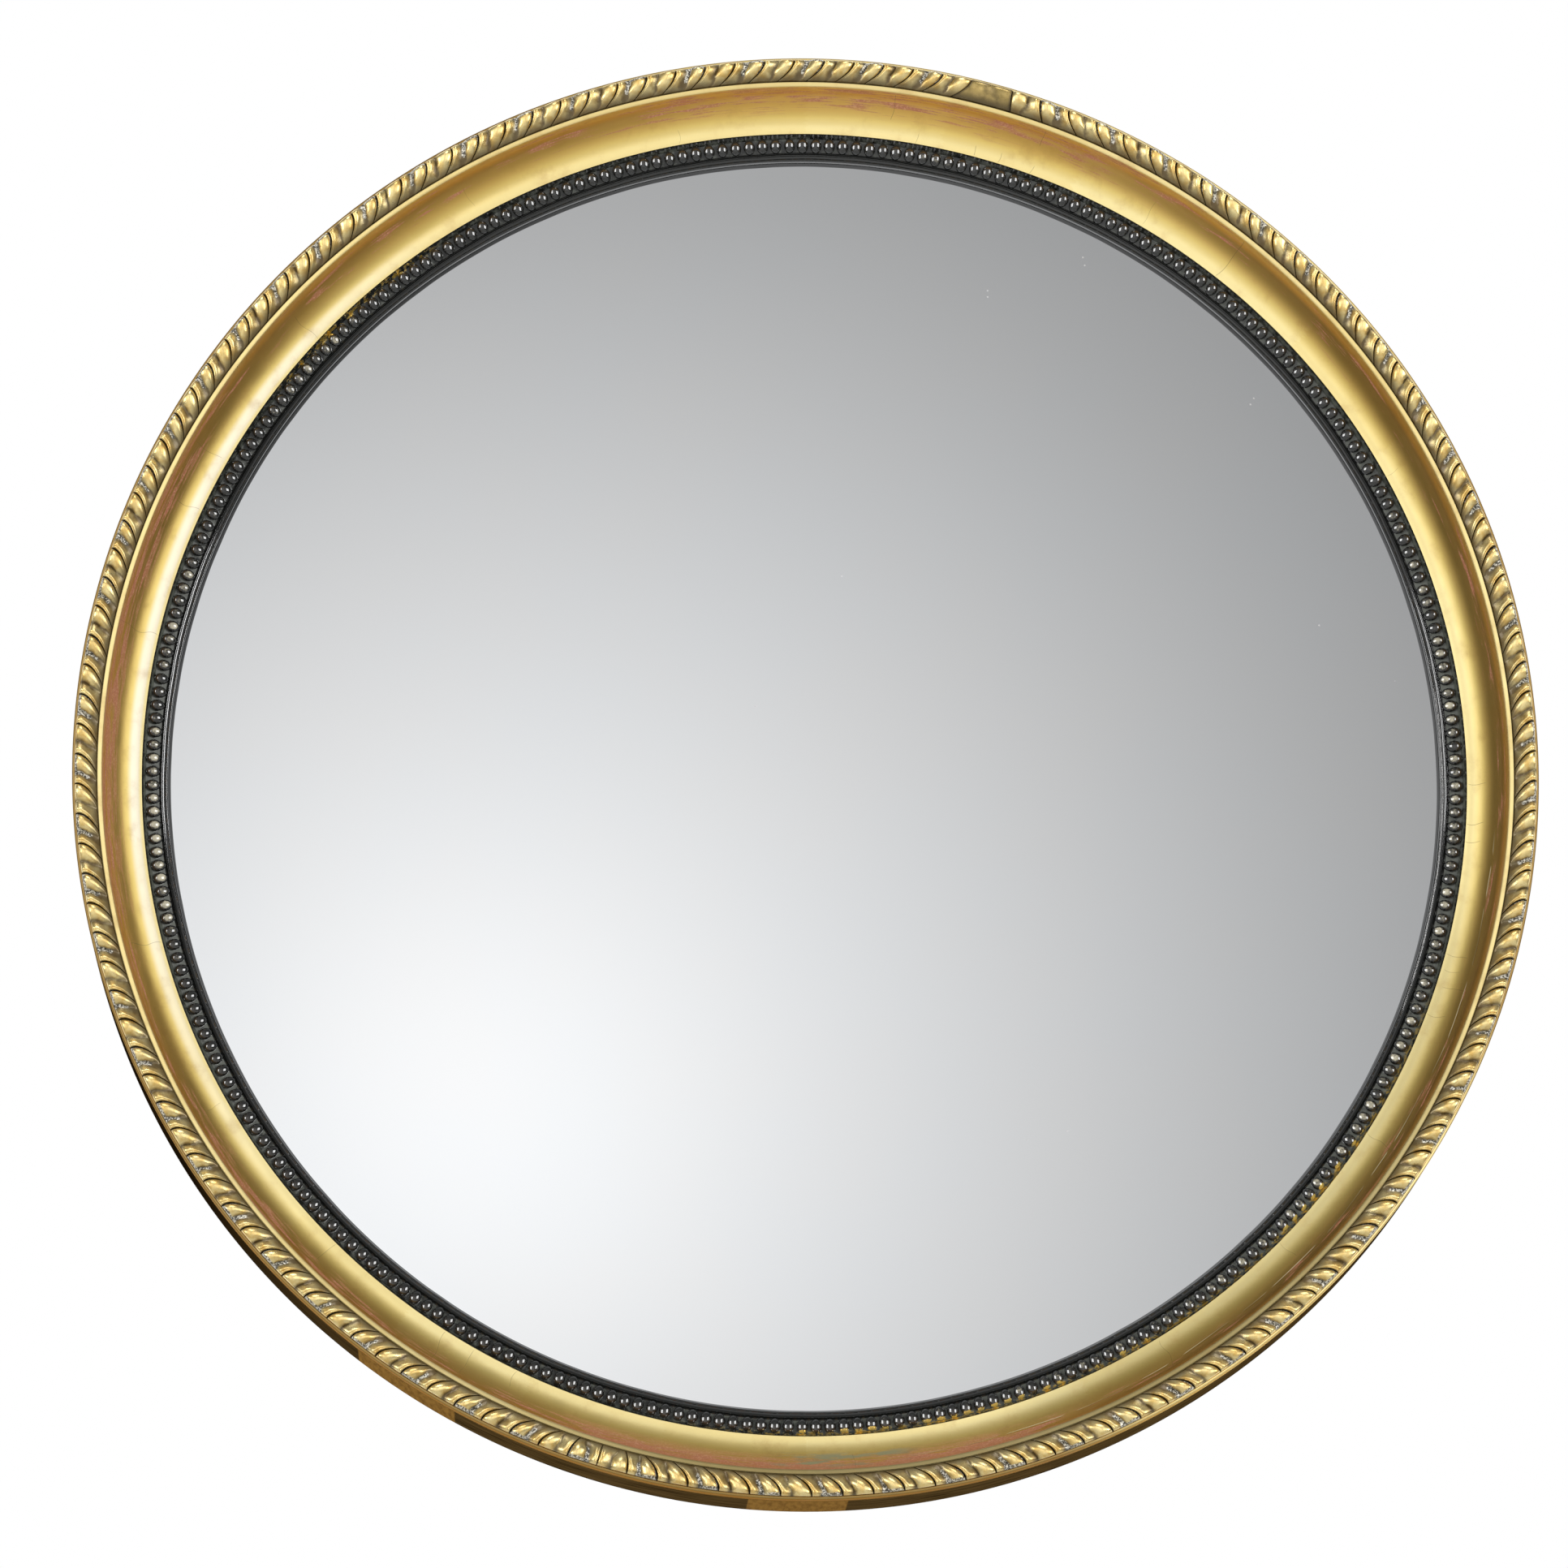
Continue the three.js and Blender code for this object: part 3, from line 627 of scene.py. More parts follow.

# rope twist: composition pressed in carved moulds, oil gilt and toned. It gives plump lobes of warm gold
# with dirt and painted shade in the dips and a soft gloss, and dark lines of painted shade in the creases
# between lobes.
# Every other lobe is picked out in crumbly silver grey, and a ribbon runs between two lobes
ropeTwist = {
    "pitch": 17.4 * mm,
    "lean": 0.62,
    "leanPower": 2.1,
    "fadeLobes": 2.5,
    "tailWidth": 0.34,
    "eggWidth": 0.6,
    "ribbonStart": 0.83,
    "ribbonHeight": 0.9,
    "phases": [
        0, 0.012, 0.03, 0.055, 0.09, 0.14, 0.2, 0.27, 0.34, 0.41, 0.47, 0.52, 0.57,
        0.61, 0.65, 0.7, 0.755, 0.8, 0.83, 0.86, 0.895, 0.91, 0.925, 0.955, 0.985],
    # places across the twist, and the share of full height there
    "section": [
        (0, 0), (0.02, 0.16), (0.06, 0.3), (0.12, 0.43), (0.19, 0.55), (0.27, 0.66), (0.35, 0.755),
        (0.44, 0.84), (0.53, 0.91), (0.62, 0.96), (0.71, 0.99), (0.79, 1.0), (0.86, 0.985), (0.92, 0.94),
        (0.97, 0.86), (1.005, 0.72), (1.02, 0.45), (1.0, 0)],
    "blotch": 6.25 * mm,
    "speck": 1.1111 * mm,
    "colours": {"line": "2e2110", "silver": "e2ddcd", "lead": "45423a"},
    "gilt": {"leaf": "ffe9a6", "toned": "e6bf6c", "brown": "3d2d15"},
    "rubbed": {"leaf": "bfa566", "toned": "94804c", "brown": "4c4028"},
}


def ropeFinish(name, tones):
    material, add = newFinish(name)
    place = ringPlace(add)
    paint = mixPaints({**ropeTwist["colours"], **tones})
    across = add("MapRange", [place["radius"], ropeInner, ropeOuter])
    # line: a dark line, painted shade in the creases between lobes and a dark joint at the ends of the block
    dip, line, silvered = carried(add, "dip", "line", "silvered")
    blotches = add("TexNoise", [place["point"], 1 / ropeTwist["blotch"], 6, 0.6])
    fine = add("TexNoise", [place["point"], 1 / ropeTwist["speck"], 3, 0.6])
    # dirt and painted shade darken the dips and the glass side
    uneven = add("Math", [blotches, 0.35, dip], operation="MULTIPLY_ADD")
    dirtAndShade = add("Math", [
        add("MapRange", [uneven, 0.27, 0.62, 0, 0.9], **smooth),
        add("MapRange", [across, 0.52, 0.06, 0, 0.84], **smooth)], **greatest)
    crumbs = add("MapRange", [fine, 0.46, 0.56], **smooth)
    grey = add("Mix", [crumbs, paint["lead"], paint["silver"]], **blend)
    greyShare = add("MapRange", [add("Math", [silvered, blotches]), 0.85, 1.1, 0, 0.9], **smooth)
    surface = layers(
        add, paint["leaf"], (add("MapRange", [blotches, 0.35, 0.7], **smooth), paint["toned"]),
        (dirtAndShade, paint["brown"]), (greyShare, grey), (line, paint["line"]))
    dull = add("Math", [line, dirtAndShade, greyShare], **greatest)
    closeFinish(add, {
        "Base Color": surface,
        "Metallic": add("MapRange", [dull, 0, 1, 1, 0.35]),
        "Roughness": add("MapRange", [blotches, 0.3, 0.7, 0.25, 0.37]),
        "Coat Weight": 0.35,
        "Coat Roughness": 0.1,
    }, (blotches, 0.3 * mm, 0.5), (fine, 0.015 * mm, 0.5))
    return material


# share of full height at a place of a lobe: phase 0 to 1 along it, across 0 at the glass side to 1 at the rim
def lobeHeight(phase, across, silvered, size):
    # the egg is widest towards the rim and runs out to a tail at the glass side
    tail, widest, ribbonStart, ribbonHeight = (
        ropeTwist[key] for key in ("tailWidth", "eggWidth", "ribbonStart", "ribbonHeight"))
    eggWidth = (tail + (widest - tail) * smoothStep(0.05, 0.55, across)) * size * (1 - 0.1 * silvered)
    foot = 0.52 - 0.08 * silvered
    crown = (1 - foot) * (0.7 + 0.3 * smoothStep(0.05, 0.5, across))
    egg = foot + crown * np.sin(math.pi * np.clip(phase / eggWidth, 0, 1) ** 0.85) ** 0.6
    # a scoop climbs from the egg to the ribbon, which has a fine line along its middle
    past = np.clip((phase - eggWidth) / (ribbonStart - eggWidth), 0, 1)
    scoop = foot + (ribbonHeight - foot) * past ** 0.75 - (0.03 + 0.08 * silvered) * np.sin(math.pi * past)
    ribbon = ribbonHeight + 0.03 * np.sin(math.pi * (phase - ribbonStart) / (1 - ribbonStart))
    ribbon = ribbon - 0.06 * hill(phase - 0.91, 0.012)
    height = np.where(phase < eggWidth, egg, np.where(phase < ribbonStart, scoop, ribbon))
    # a narrow groove at each end of the lobe; the finish paints its line dark as shade in the crease
    nearLine = hill(np.minimum(phase, 1 - phase), 0.016)
    # the silver lies in the grooves on both sides of the egg and at its outer end
    grooves = np.maximum(hill(phase, 0.08), hill(phase - eggWidth - 0.04, 0.09))
    grooves = grooves * smoothStep(0.15, 0.5, across)
    outerEnd = smoothStep(0.78, 0.96, across) * (phase < eggWidth + 0.15) * 0.85
    return height - 0.26 * nearLine, nearLine, silvered * np.maximum(grooves, outerEnd)


# one hand of the twist, from the block at the top down to the bottom; way is 1 clockwise and -1 the other way
# angle = start + way * pitch * (place + lean * (1 - across)^leanPower), height = section * the lobe's share
def makeRopeHand(names, start, way, travel, straightStart):
    random = np.random.RandomState(11 + way)
    count = round(math.radians(travel) * (ropeInner + ropeOuter) / 2 / ropeTwist["pitch"])
    pitch = travel / count
    phases = np.array(ropeTwist["phases"])
    section = np.array(ropeTwist["section"])
    across = np.clip(section[:, 0], 0, 1)[None, :]
    lobe = np.append(np.repeat(np.arange(count), len(phases)), count - 1)
    phase = np.append(np.tile(phases, count), 1.0)[:, None]
    place = lobe[:, None] + phase
    sizes, heights = random.uniform(0.93, 1.07, (2, count))
    heights = np.minimum(heights, 1)[lobe][:, None]
    shifts = random.uniform(-0.02, 0.02, count)[lobe][:, None]
    silvered = (lobe[:, None] % 2) * random.uniform(0.7, 1.0, count)[lobe][:, None]
    # the lean dies out where the hands meet at the bottom, and beside the block on the right
    fadeLobes = ropeTwist["fadeLobes"]
    fade = smoothStep(0, fadeLobes, count - place) * (
        straightStart + (1 - straightStart) * smoothStep(0, fadeLobes, place))
    lean = ropeTwist["lean"] * (1 - across) ** ropeTwist["leanPower"]
    angle = start + way * pitch * (place + shifts * np.sin(math.pi * phase) + fade * lean)
    share, line, channel = lobeHeight(phase, across, silvered, sizes[lobe][:, None])
    forward = ropeFoot + (ropeCrest - ropeFoot) * 0.985 * section[:, 1] * share * heights
    radius = ropeInner + (ropeOuter - ropeInner) * section[:, 0]
    points = ringPoints(angle, radius, forward)
    ends = [angleSpan(name, min(start, start + way * travel))[0 if way > 0 else 1] for name in names]
    starts = sorted(way * (end - start) for end in ends)
    cuts = [0] + [round(one / pitch) * len(phases) for one in starts[1:]] + [len(place) - 1]
    for name, first, last in zip(names, cuts[:-1], cuts[1:]):
        rows = slice(first, last + 1)
        attributes = {"dip": (1 - share)[rows], "line": line[rows] + 0 * across, "silvered": channel[rows]}
        pieceName = "ropeLength" + name.split("_")[-1]
        piece = sectionPiece(pieceName, points[rows], attributes=attributes, sharpAngle=75)
        fit(piece, "frame", "gilt_rope", [giltRope], name)
    return angle[0]


giltRope = ropeFinish("giltComposition", ropeTwist["gilt"])
blockStart = angleSpan("rope_splice", 5)[0]
ropeStart = angleSpan("rope_length_1", blockStart)[0]
ropeMeet = (angleSpan("rope_length_4", blockStart)[1] + angleSpan("rope_length_5", blockStart)[0]) / 2
rightEdge = makeRopeHand(ropeNames[:4], ropeStart, 1, ropeMeet - ropeStart, 0.2)
leftEdge = makeRopeHand(ropeNames[:3:-1], blockStart, -1, blockStart + fullTurn - ropeMeet, 1)


# the block let in between the hands: its sides follow the last lobes, its top is a plain low arch
# forward = foot + rise * section * (0.78 + worn), where worn is a slow sine with a lift at the right
def makeSplice():
    section = np.array(ropeTwist["section"])
    share = np.linspace(0, 1, 19)[:, None]
    angle = leftEdge * (1 - share) + rightEdge * share
    worn = 0.03 * np.sin(share * 14 + 3 * section[:, 0]) + 0.05 * smoothStep(0.8, 1, share)
    forward = ropeFoot + (ropeCrest - ropeFoot) * section[:, 1] * (0.78 + worn)
    radius = ropeInner + (ropeOuter - ropeInner) * section[:, 0] + 0 * angle
    # the gold is rubbed grey in the middle and towards the rim
    middle = hill(share - 0.4, 0.25)
    attributes = {
        "dip": 0.12 + 0.1 * np.sin(share * 9 + section[:, 0] * 5) + 0.08 * middle + 0 * radius,
        "line": 0.8 * hill(np.minimum(share, 1 - share), 0.02) + 0 * radius,
        "silvered": middle * (0.15 + 0.2 * section[:, 0]),
    }
    points = ringPoints(angle, radius, forward)
    piece = sectionPiece("ropeSplice", points, attributes=attributes, sharpAngle=50)
    fit(piece, "frame", "gilt_rope", [ropeFinish("rubbedComposition", ropeTwist["rubbed"])], "rope_splice")


makeSplice()
print("rope twist made")

# ebonised slip: black varnish brushed over gesso and rubbed down. It gives a hard black gloss with crisp
# pale lines on the reeds, and grey dust dulls the ground between the beads
slipLook = {
    "colours": {"black": "121311", "dust": "50534a", "goldFleck": "d4b050"},
    "dustCell": 3.8462 * mm,
    "speck": 0.9091 * mm,
    "dustArcs": [(110, 95), (262, 40)],
    "leafArcs": [(150, 42), (316, 10)],
    "step": 0.5,
    "waver": 0.12 * mm,
    # share of the band's width, and of its rise, from the sight edge over two reeds to the step
    "reeds": [
        (0, -0.25), (0.02, 0.1), (0.06, 0.34), (0.12, 0.5), (0.19, 0.56), (0.25, 0.52), (0.31, 0.4),
        (0.38, 0.34), (0.48, 0.36), (0.58, 0.44), (0.64, 0.54), (0.67, 0.6), (0.69, 0.78), (0.73, 0.95),
        (0.78, 1.0), (0.83, 0.94), (0.87, 0.76), (0.89, 0.62), (0.91, 0.78), (0.94, 0.9), (0.97, 0.95),
        (1.0, 0.86)],
}


def slipFinish():
    material, add = newFinish("ebonisedGesso")
    place = ringPlace(add)
    paint = mixPaints(slipLook["colours"])
    across = add("MapRange", [place["radius"], sightRadius, goldRadius])
    clouds = add("TexNoise", [place["point"], 1 / slipLook["dustCell"], 5, 0.65])
    fine = add("TexNoise", [place["point"], 1 / slipLook["speck"], 3, 0.6])
    sides = arcWindows(add, place, slipLook["dustArcs"], soft=0.7)
    amount = add("Math", [sides, 0.16, clouds], operation="MULTIPLY_ADD")
    onGround = band(add, across, (0.32, 0.38), (0.99, 0.9))
    dust = add("Math", [onGround, add("MapRange", [amount, 0.38, 0.75], **smooth)], **times)
    fleck = add("Math", [
        arcWindows(add, place, slipLook["leafArcs"], soft=0.3),
        add("MapRange", [across, 0.74, 0.9], **smooth),
        add("MapRange", [clouds, 0.5, 0.58], **smooth)], **times)
    closeFinish(add, {
        "Base Color": layers(add, paint["black"], (dust, paint["dust"]), (fleck, paint["goldFleck"])),
        "Metallic": fleck,
        "Roughness": add("MapRange", [dust, 0, 1, 0.1, 0.55]),
        "Coat Weight": 0.6,
        "Coat Roughness": 0.05,
    }, (clouds, 0.03 * mm, 0.3), (fine, 0.01 * mm, 0.5))
    return material


ground = slip[(slip[:, 0] > sightRadius + 4.5 * mm) & (slip[:, 0] < goldRadius - 1.5 * mm)]
levels = sorted({(round(float(r), 5), round(float(f), 5)) for r, f, _ in ground if f > frontBack + 3 * mm})
bandStep, groundStart, groundEnd = levels[-3:]
slipOuter = slip[(slip[:, 0] < goldRadius) & (slip[:, 1] > groundEnd[1]), 0].max()
slipTop = slip[:, 1].max()
flangeOuter = slip[:, 0].max()
flangeTop = slip[slip[:, 0] > flangeOuter - hair, 1].max()


# section: round sight edge, two fine reeds, the step down to the beads' ground and the rise to the gold
def slipSection():
    size = np.array([bandStep[0] - sightRadius, bandStep[1] - sightLevel])
    reeds = np.array([sightRadius, sightLevel]) + size * np.array(slipLook["reeds"])
    share = np.linspace(0, 1, 6)[:, None]
    floor = np.array(groundStart) * (1 - share) + np.array(groundEnd) * share
    riser = [[slipOuter - 0.35 * mm, slipTop - 0.9 * mm], [slipOuter, slipTop], [slipOuter, flangeTop]]
    flange = [[flangeOuter, flangeTop], [flangeOuter, frontBack]]
    return np.concatenate([[[sightRadius, frontBack]], reeds, floor, riser, flange])


def makeSlip():
    section = slipSection()
    finish = slipFinish()
    overEdge = section[:, 1] > sightLevel + 0.3 * mm
    inside = section[:, 0] < goldRadius - 1 * mm
    for number, (name, (first, last)) in enumerate(zip(slipNames, joinedSpans(slipNames, 96)), 1):
        angle = np.linspace(first, last, int((last - first) / slipLook["step"]) + 1)[:, None]
        turn = np.radians(angle)
        # hand-worked edges: a sum of sines moves the section a little out and forward
        sines = np.sin(turn * 23 + 1) + np.sin(turn * 51 + 2) + 0.5 * np.sin(turn * 107)
        waver = slipLook["waver"] * sines * overEdge
        radius = section[:, 0] + waver * inside * 0.6
        points = ringPoints(angle, radius, section[:, 1] + waver * 0.4 + 0 * angle)
        piece = sectionPiece(f"slipSection{number}", points, sharpAngle=40)
        fit(piece, "frame", "ebonised_slip", [finish], name)


makeSlip()
print("slip made")

# beads: moulded composition, ebonised and varnished. They give wet black gloss with small hard glints.
# Some tops are rubbed to buff, while a wide arc of buff tops on the right is painted highlight; the rim side
# of each bead is browned as a painted reflection of the gold, and gold strayed on to some
beadLook = {
    "colours": {"black": "0f100e", "goldReflectionBrown": "241d13", "buffAndHighlight": "96907c", "goldFleck": "b89f52"},
    "speck": 1.9231 * mm,
    "pitch": 7.915 * mm,
    "alongRing": 3.5 * mm,
    "acrossRing": 4.55 * mm,
    "outward": 0.2 * mm,
    "height": 3.3 * mm,
    "lift": 0.7 * mm,
    "around": 12,
    "elevations": [-13, 12, 37, 62],
    # middle, half width and strength of the arcs where the tops are rubbed, the wide one at 96 standing for
    # painted highlight, and where gold strayed
    "rubAndHighlightArcs": [(12, 9, 0.5), (96, 42, 0.8), (160, 30, 0.4), (264, 12, 1.0), (286, 9, 0.7), (310, 7, 0.8)],
    "leafArcs": [(129, 6, 0.7), (150, 40, 0.5), (158, 8, 0.7), (173, 8, 1.0), (316, 9, 0.8)],
}


def beadFinish():
    material, add = newFinish("ebonisedBeads")
    paint = mixPaints(beadLook["colours"])
    rub, leaf, warm = carried(add, "rub", "leaf", "warm")
    noise = add("TexNoise", [add("TexCoord", take="Object"), 1 / beadLook["speck"], 4, 0.65])
    # buff on rubbed tops, and on one wide arc buff tops as painted highlight
    rubbed = add("MapRange", [add("Math", [rub, noise]), 0.85, 1.35], **smooth)
    flecked = add("MapRange", [add("Math", [leaf, noise]), 1.06, 1.14], **smooth)
    # brown on the rim side is painted reflection of the gold
    surface = layers(
        add, paint["black"], (warm, paint["goldReflectionBrown"]),
        (rubbed, paint["buffAndHighlight"]), (flecked, paint["goldFleck"]))
    closeFinish(add, {
        "Base Color": surface,
        "Metallic": add("MapRange", [flecked, 0, 1, 0, 0.4]),
        "Roughness": add("MapRange", [rubbed, 0, 1, 0.1, 0.3]),
        "Coat Weight": 1,
        "Coat Roughness": 0.06,
    }, (noise, 0.03 * mm, 0.5))
    return material


# sum over arcs of strength * exp(-(distance / half)^power)
def arcSum(angle, arcs, power):
    return sum(strength * hill(angleApart(angle, middle), half, power) for middle, half, strength in arcs)


# each bead is most of an egg-shaped ball, longer across the ring, that stands square on its sloping ground
# ball = (cos(rise) cos(around), cos(rise) sin(around), sin(rise)), then scaled along, across and outward
def makeBeads():
    random = np.random.RandomState(21)
    centreRadius = (groundStart[0] + groundEnd[0]) / 2
    centreLevel = (groundStart[1] + groundEnd[1]) / 2
    slope = math.atan2(groundEnd[1] - groundStart[1], groundEnd[0] - groundStart[0])
    total = round(2 * math.pi * centreRadius / beadLook["pitch"])
    first = angleSpan(beadNames[0], 96)[0]
    finish = beadFinish()
    around = np.linspace(0, 2 * math.pi, beadLook["around"], endpoint=False)
    rise = np.radians(beadLook["elevations"])[:, None]
    parts = np.broadcast_arrays(np.cos(rise) * np.cos(around), np.cos(rise) * np.sin(around), np.sin(rise))
    ball = np.concatenate([np.stack(parts, axis=-1).reshape(-1, 3), [[0, 0, 1]]])
    index = np.arange(len(ball) - 1).reshape(len(rise), len(around))
    quads = bandFaces(index[:-1], index[1:])
    top = np.stack([index[-1], np.roll(index[-1], -1), np.full(len(around), len(ball) - 1)], axis=-1)
    onTop = smoothStep(0.45, 0.95, ball[:, 2])
    onRimSide = smoothStep(0.35, 0.95, ball[:, 1])
    # the rim side is browner: a painted reflection of the gold beside the beads
    warm = smoothStep(-0.1, 0.9, ball[:, 1])
    for run, name in enumerate(beadNames):
        numbers = np.arange(round(run * total / 4), round((run + 1) * total / 4))
        angle = first + (numbers + 0.5) * fullTurn / total
        size = random.uniform(0.96, 1.03, len(numbers))[:, None]
        angle = angle + random.uniform(-0.03, 0.03, len(numbers))
        # ball coordinates: along the ring, up the slope, and square to it
        along = ball[:, 0] * beadLook["alongRing"] * size
        up = ball[:, 1] * beadLook["acrossRing"] * size + beadLook["outward"]
        out = np.maximum(ball[:, 2] * beadLook["height"] * size + beadLook["lift"], 0.02 * mm)
        radius = centreRadius + up * math.cos(slope) - out * math.sin(slope)
        forward = centreLevel + up * math.sin(slope) + out * math.cos(slope)
        points = ringPoints(angle[:, None] + np.degrees(along / centreRadius), radius, forward)
        facing = angle % fullTurn
        rub = np.clip(arcSum(facing, beadLook["rubAndHighlightArcs"], 2), 0, 1)
        rub = rub * random.uniform(0.5, 1.1, len(numbers))
        leaf = arcSum(facing, beadLook["leafArcs"], 4) * random.uniform(0.2, 1.1, len(numbers))
        attributes = {"rub": rub[:, None] * onTop, "leaf": leaf[:, None] * onRimSide, "warm": 0 * size + warm}
        offset = (np.arange(len(numbers)) * len(ball))[:, None, None]
        faces = (quads[None] + offset).reshape(-1, 4).tolist() + (top[None] + offset).reshape(-1, 3).tolist()
        faces += (index[0][::-1][None] + offset[:, 0]).tolist()
        piece = makePiece(f"beadRun{run + 1}", points, faces, attributes, sharpAngle=60)
        fit(piece, "frame", "ebonised_beads", [finish], name)


makeBeads()
print("beads made")

# convex glass: slumped plate, polished in front and silvered behind. It gives a clear, even, slightly cool
# reflection of the room, with a few white specks of dust
glassLook = {
    "colours": {"cloud": "f9fbfd", "tint": "fafbfc", "speck": "ffffff"},
    "cloudCell": 111.111 * mm,
    "polishCell": 0.45455 * mm,
    "dustCell": 18.1818 * mm,
    "around": 128,
    "rings": 26,
    "round": 0.5 * mm,
    # places of the larger specks, x and z in millimetres, and their inner and outer radius
    "specks": [
        (107, 290), (107, 286), (164, 313), (165, 308), (264, 228),
        (262, 224), (20, 112), (-30, 34), (300, 90), (150, -210)],
    "speckEdge": (0.7 * mm, 0.35 * mm),
}


def glassFinish():
    material, add = newFinish("silveredGlass")
    point = add("TexCoord", take="Object")
    paint = mixPaints(glassLook["colours"])
    polish = add("TexNoise", [point, 1 / glassLook["polishCell"], 1])
    clouds = add("TexNoise", [point, 1 / glassLook["cloudCell"], 2])
    dots = add("TexVoronoi", [point, 1 / glassLook["dustCell"]])
    lucky = add("MapRange", [add("SeparateColor", [dots.node.outputs["Color"]]), 0.93, 1], **smooth)
    dust = [add("Math", [lucky, add("MapRange", [dots, 0.03, 0.015], **smooth)], **times)]
    flat = add("VectorMath", [point, (1, 0, 1)], **times)
    for x, z in glassLook["specks"]:
        distance = add("VectorMath", [flat, (x * mm, 0, z * mm)], operation="DISTANCE")
        dust.append(add("MapRange", [distance, *glassLook["speckEdge"]], **smooth))
    dust = add("Math", dust, **greatest)
    surface = layers(
        add, paint["cloud"],
        (add("MapRange", [clouds, 0.3, 0.7], **smooth), paint["tint"]), (dust, paint["speck"]))
    closeFinish(add, {
        "Base Color": surface,
        "Metallic": add("MapRange", [dust, 0, 1, 1, 0.2]),
        "Roughness": add("MapRange", [polish, 0.3, 0.7, 0.025, 0.045]),
        "Coat Weight": 0.3,
        "Coat Roughness": 0.02,
    })
    return material


# a cap of a sphere through the plate's own apex and rim, with a back one thickness behind it
# level = apex - sphere + sqrt(sphere^2 - radius^2), where sphere = (rim^2 + sag^2) / 2 sag
def makeGlass():
    apex, rim, soft = plate[:, 1].max(), plate[:, 0].max(), glassLook["round"]
    rimLevels = plate[plate[:, 0] > rim - 0.2 * mm, 1]
    thickness = rimLevels.max() - rimLevels.min()
    sag = apex - rimLevels.max()
    sphere = (rim ** 2 + sag ** 2) / (2 * sag)
    radii = np.linspace(0, rim - 0.4 * mm, glassLook["rings"])
    level = apex - sphere + np.sqrt(sphere ** 2 - radii ** 2)
    face = np.stack([radii, level], axis=1)
    corner = [[rim, level[-1] - soft], [rim, level[-1] - thickness + soft]]
    section = np.concatenate([face, corner, face[::-1] - [0, thickness]])
    angle = np.linspace(0, fullTurn, glassLook["around"], endpoint=False)[:, None]
    points = ringPoints(angle, section[:, 0], section[:, 1] + 0 * angle)
    piece = sectionPiece("mirrorPlate", points, closed=True, sharpAngle=20, weld=0.001 * mm)
    fit(piece, "frame", "convex_glass", [glassFinish()], "mirror_plate")
    return piece


glass = makeGlass()
print("glass made")

# old pine: sawn and planed, left dry. It gives a matt straight grain of pale and dark growth rings, fine
# fibres and cloudy grime; the back ring is stained dark, the boards and blocks are bare
pine = {
    "grime": "2a2118",
    "bare": ("b98f5c", "8a6236"),
    "stained": ("4f3821", "2c1f13"),
    "ringSpacing": 5.5 * mm,
    # the grain is drawn out along the wood by this share
    "stretch": 0.06,
    "driftCell": 38.4615 * mm,
    "drift": (0.03, 0.02, 0),
    "fibreCell": 1.1111 * mm,
    "grimeCell": 71.4286 * mm,
    "washedFrom": 422.5 * mm,
    "washedTo": 424.3 * mm,
}


def pineFinish(name, grainTurn, tones, washed=None):
    material, add = newFinish(name)
    place = ringPlace(add)
    light, dark, grimy = map(colour, (*tones, pine["grime"]))
    turned = add("Mapping", {"Vector": place["point"], "Rotation": (0, math.radians(-grainTurn), 0)})
    long = add("Mapping", {"Vector": turned, "Scale": (1, 1, pine["stretch"])})
    # growth rings: bands across the grain, bent a little; the wave repeats every pi / (10 scale)
    drift = add("TexNoise", [long, 1 / pine["driftCell"], 3, 0.5], take="Color")
    bent = add("VectorMath", [drift, pine["drift"], long], operation="MULTIPLY_ADD")
    rings = add("TexWave", [bent, math.pi / 10 / pine["ringSpacing"], 4, 3, 1.5])
    fibre = add("TexNoise", [long, 1 / pine["fibreCell"], 3, 0.6])
    grime = add("TexNoise", [place["point"], 1 / pine["grimeCell"], 5, 0.6])
    base = layers(
        add, light, (add("MapRange", [rings, 0.2, 0.9], **smooth), dark),
        (add("MapRange", [fibre, 0.35, 0.75, 0, 0.5], **smooth), dark),
        (add("MapRange", [grime, 0.45, 0.8, 0, 0.45], **smooth), grimy))
    if washed:
        onSide = add("MapRange", [place["radius"], pine["washedFrom"], pine["washedTo"]], **smooth)
        base = layers(add, base, (onSide, washed(add, place)[0]))
    closeFinish(add, {
        "Base Color": base,
        "Roughness": add("MapRange", [fibre, 0.3, 0.7, 0.62, 0.8]),
        "Specular IOR Level": 0,
    }, (add("Math", [rings, fibre]), 0.15 * mm, 0.4))
    return material


# back ring: six sawn felloes, each with its own straight grain, butted end to end
backRing = {"step": 1.0, "chamfer": 0.5 * mm}


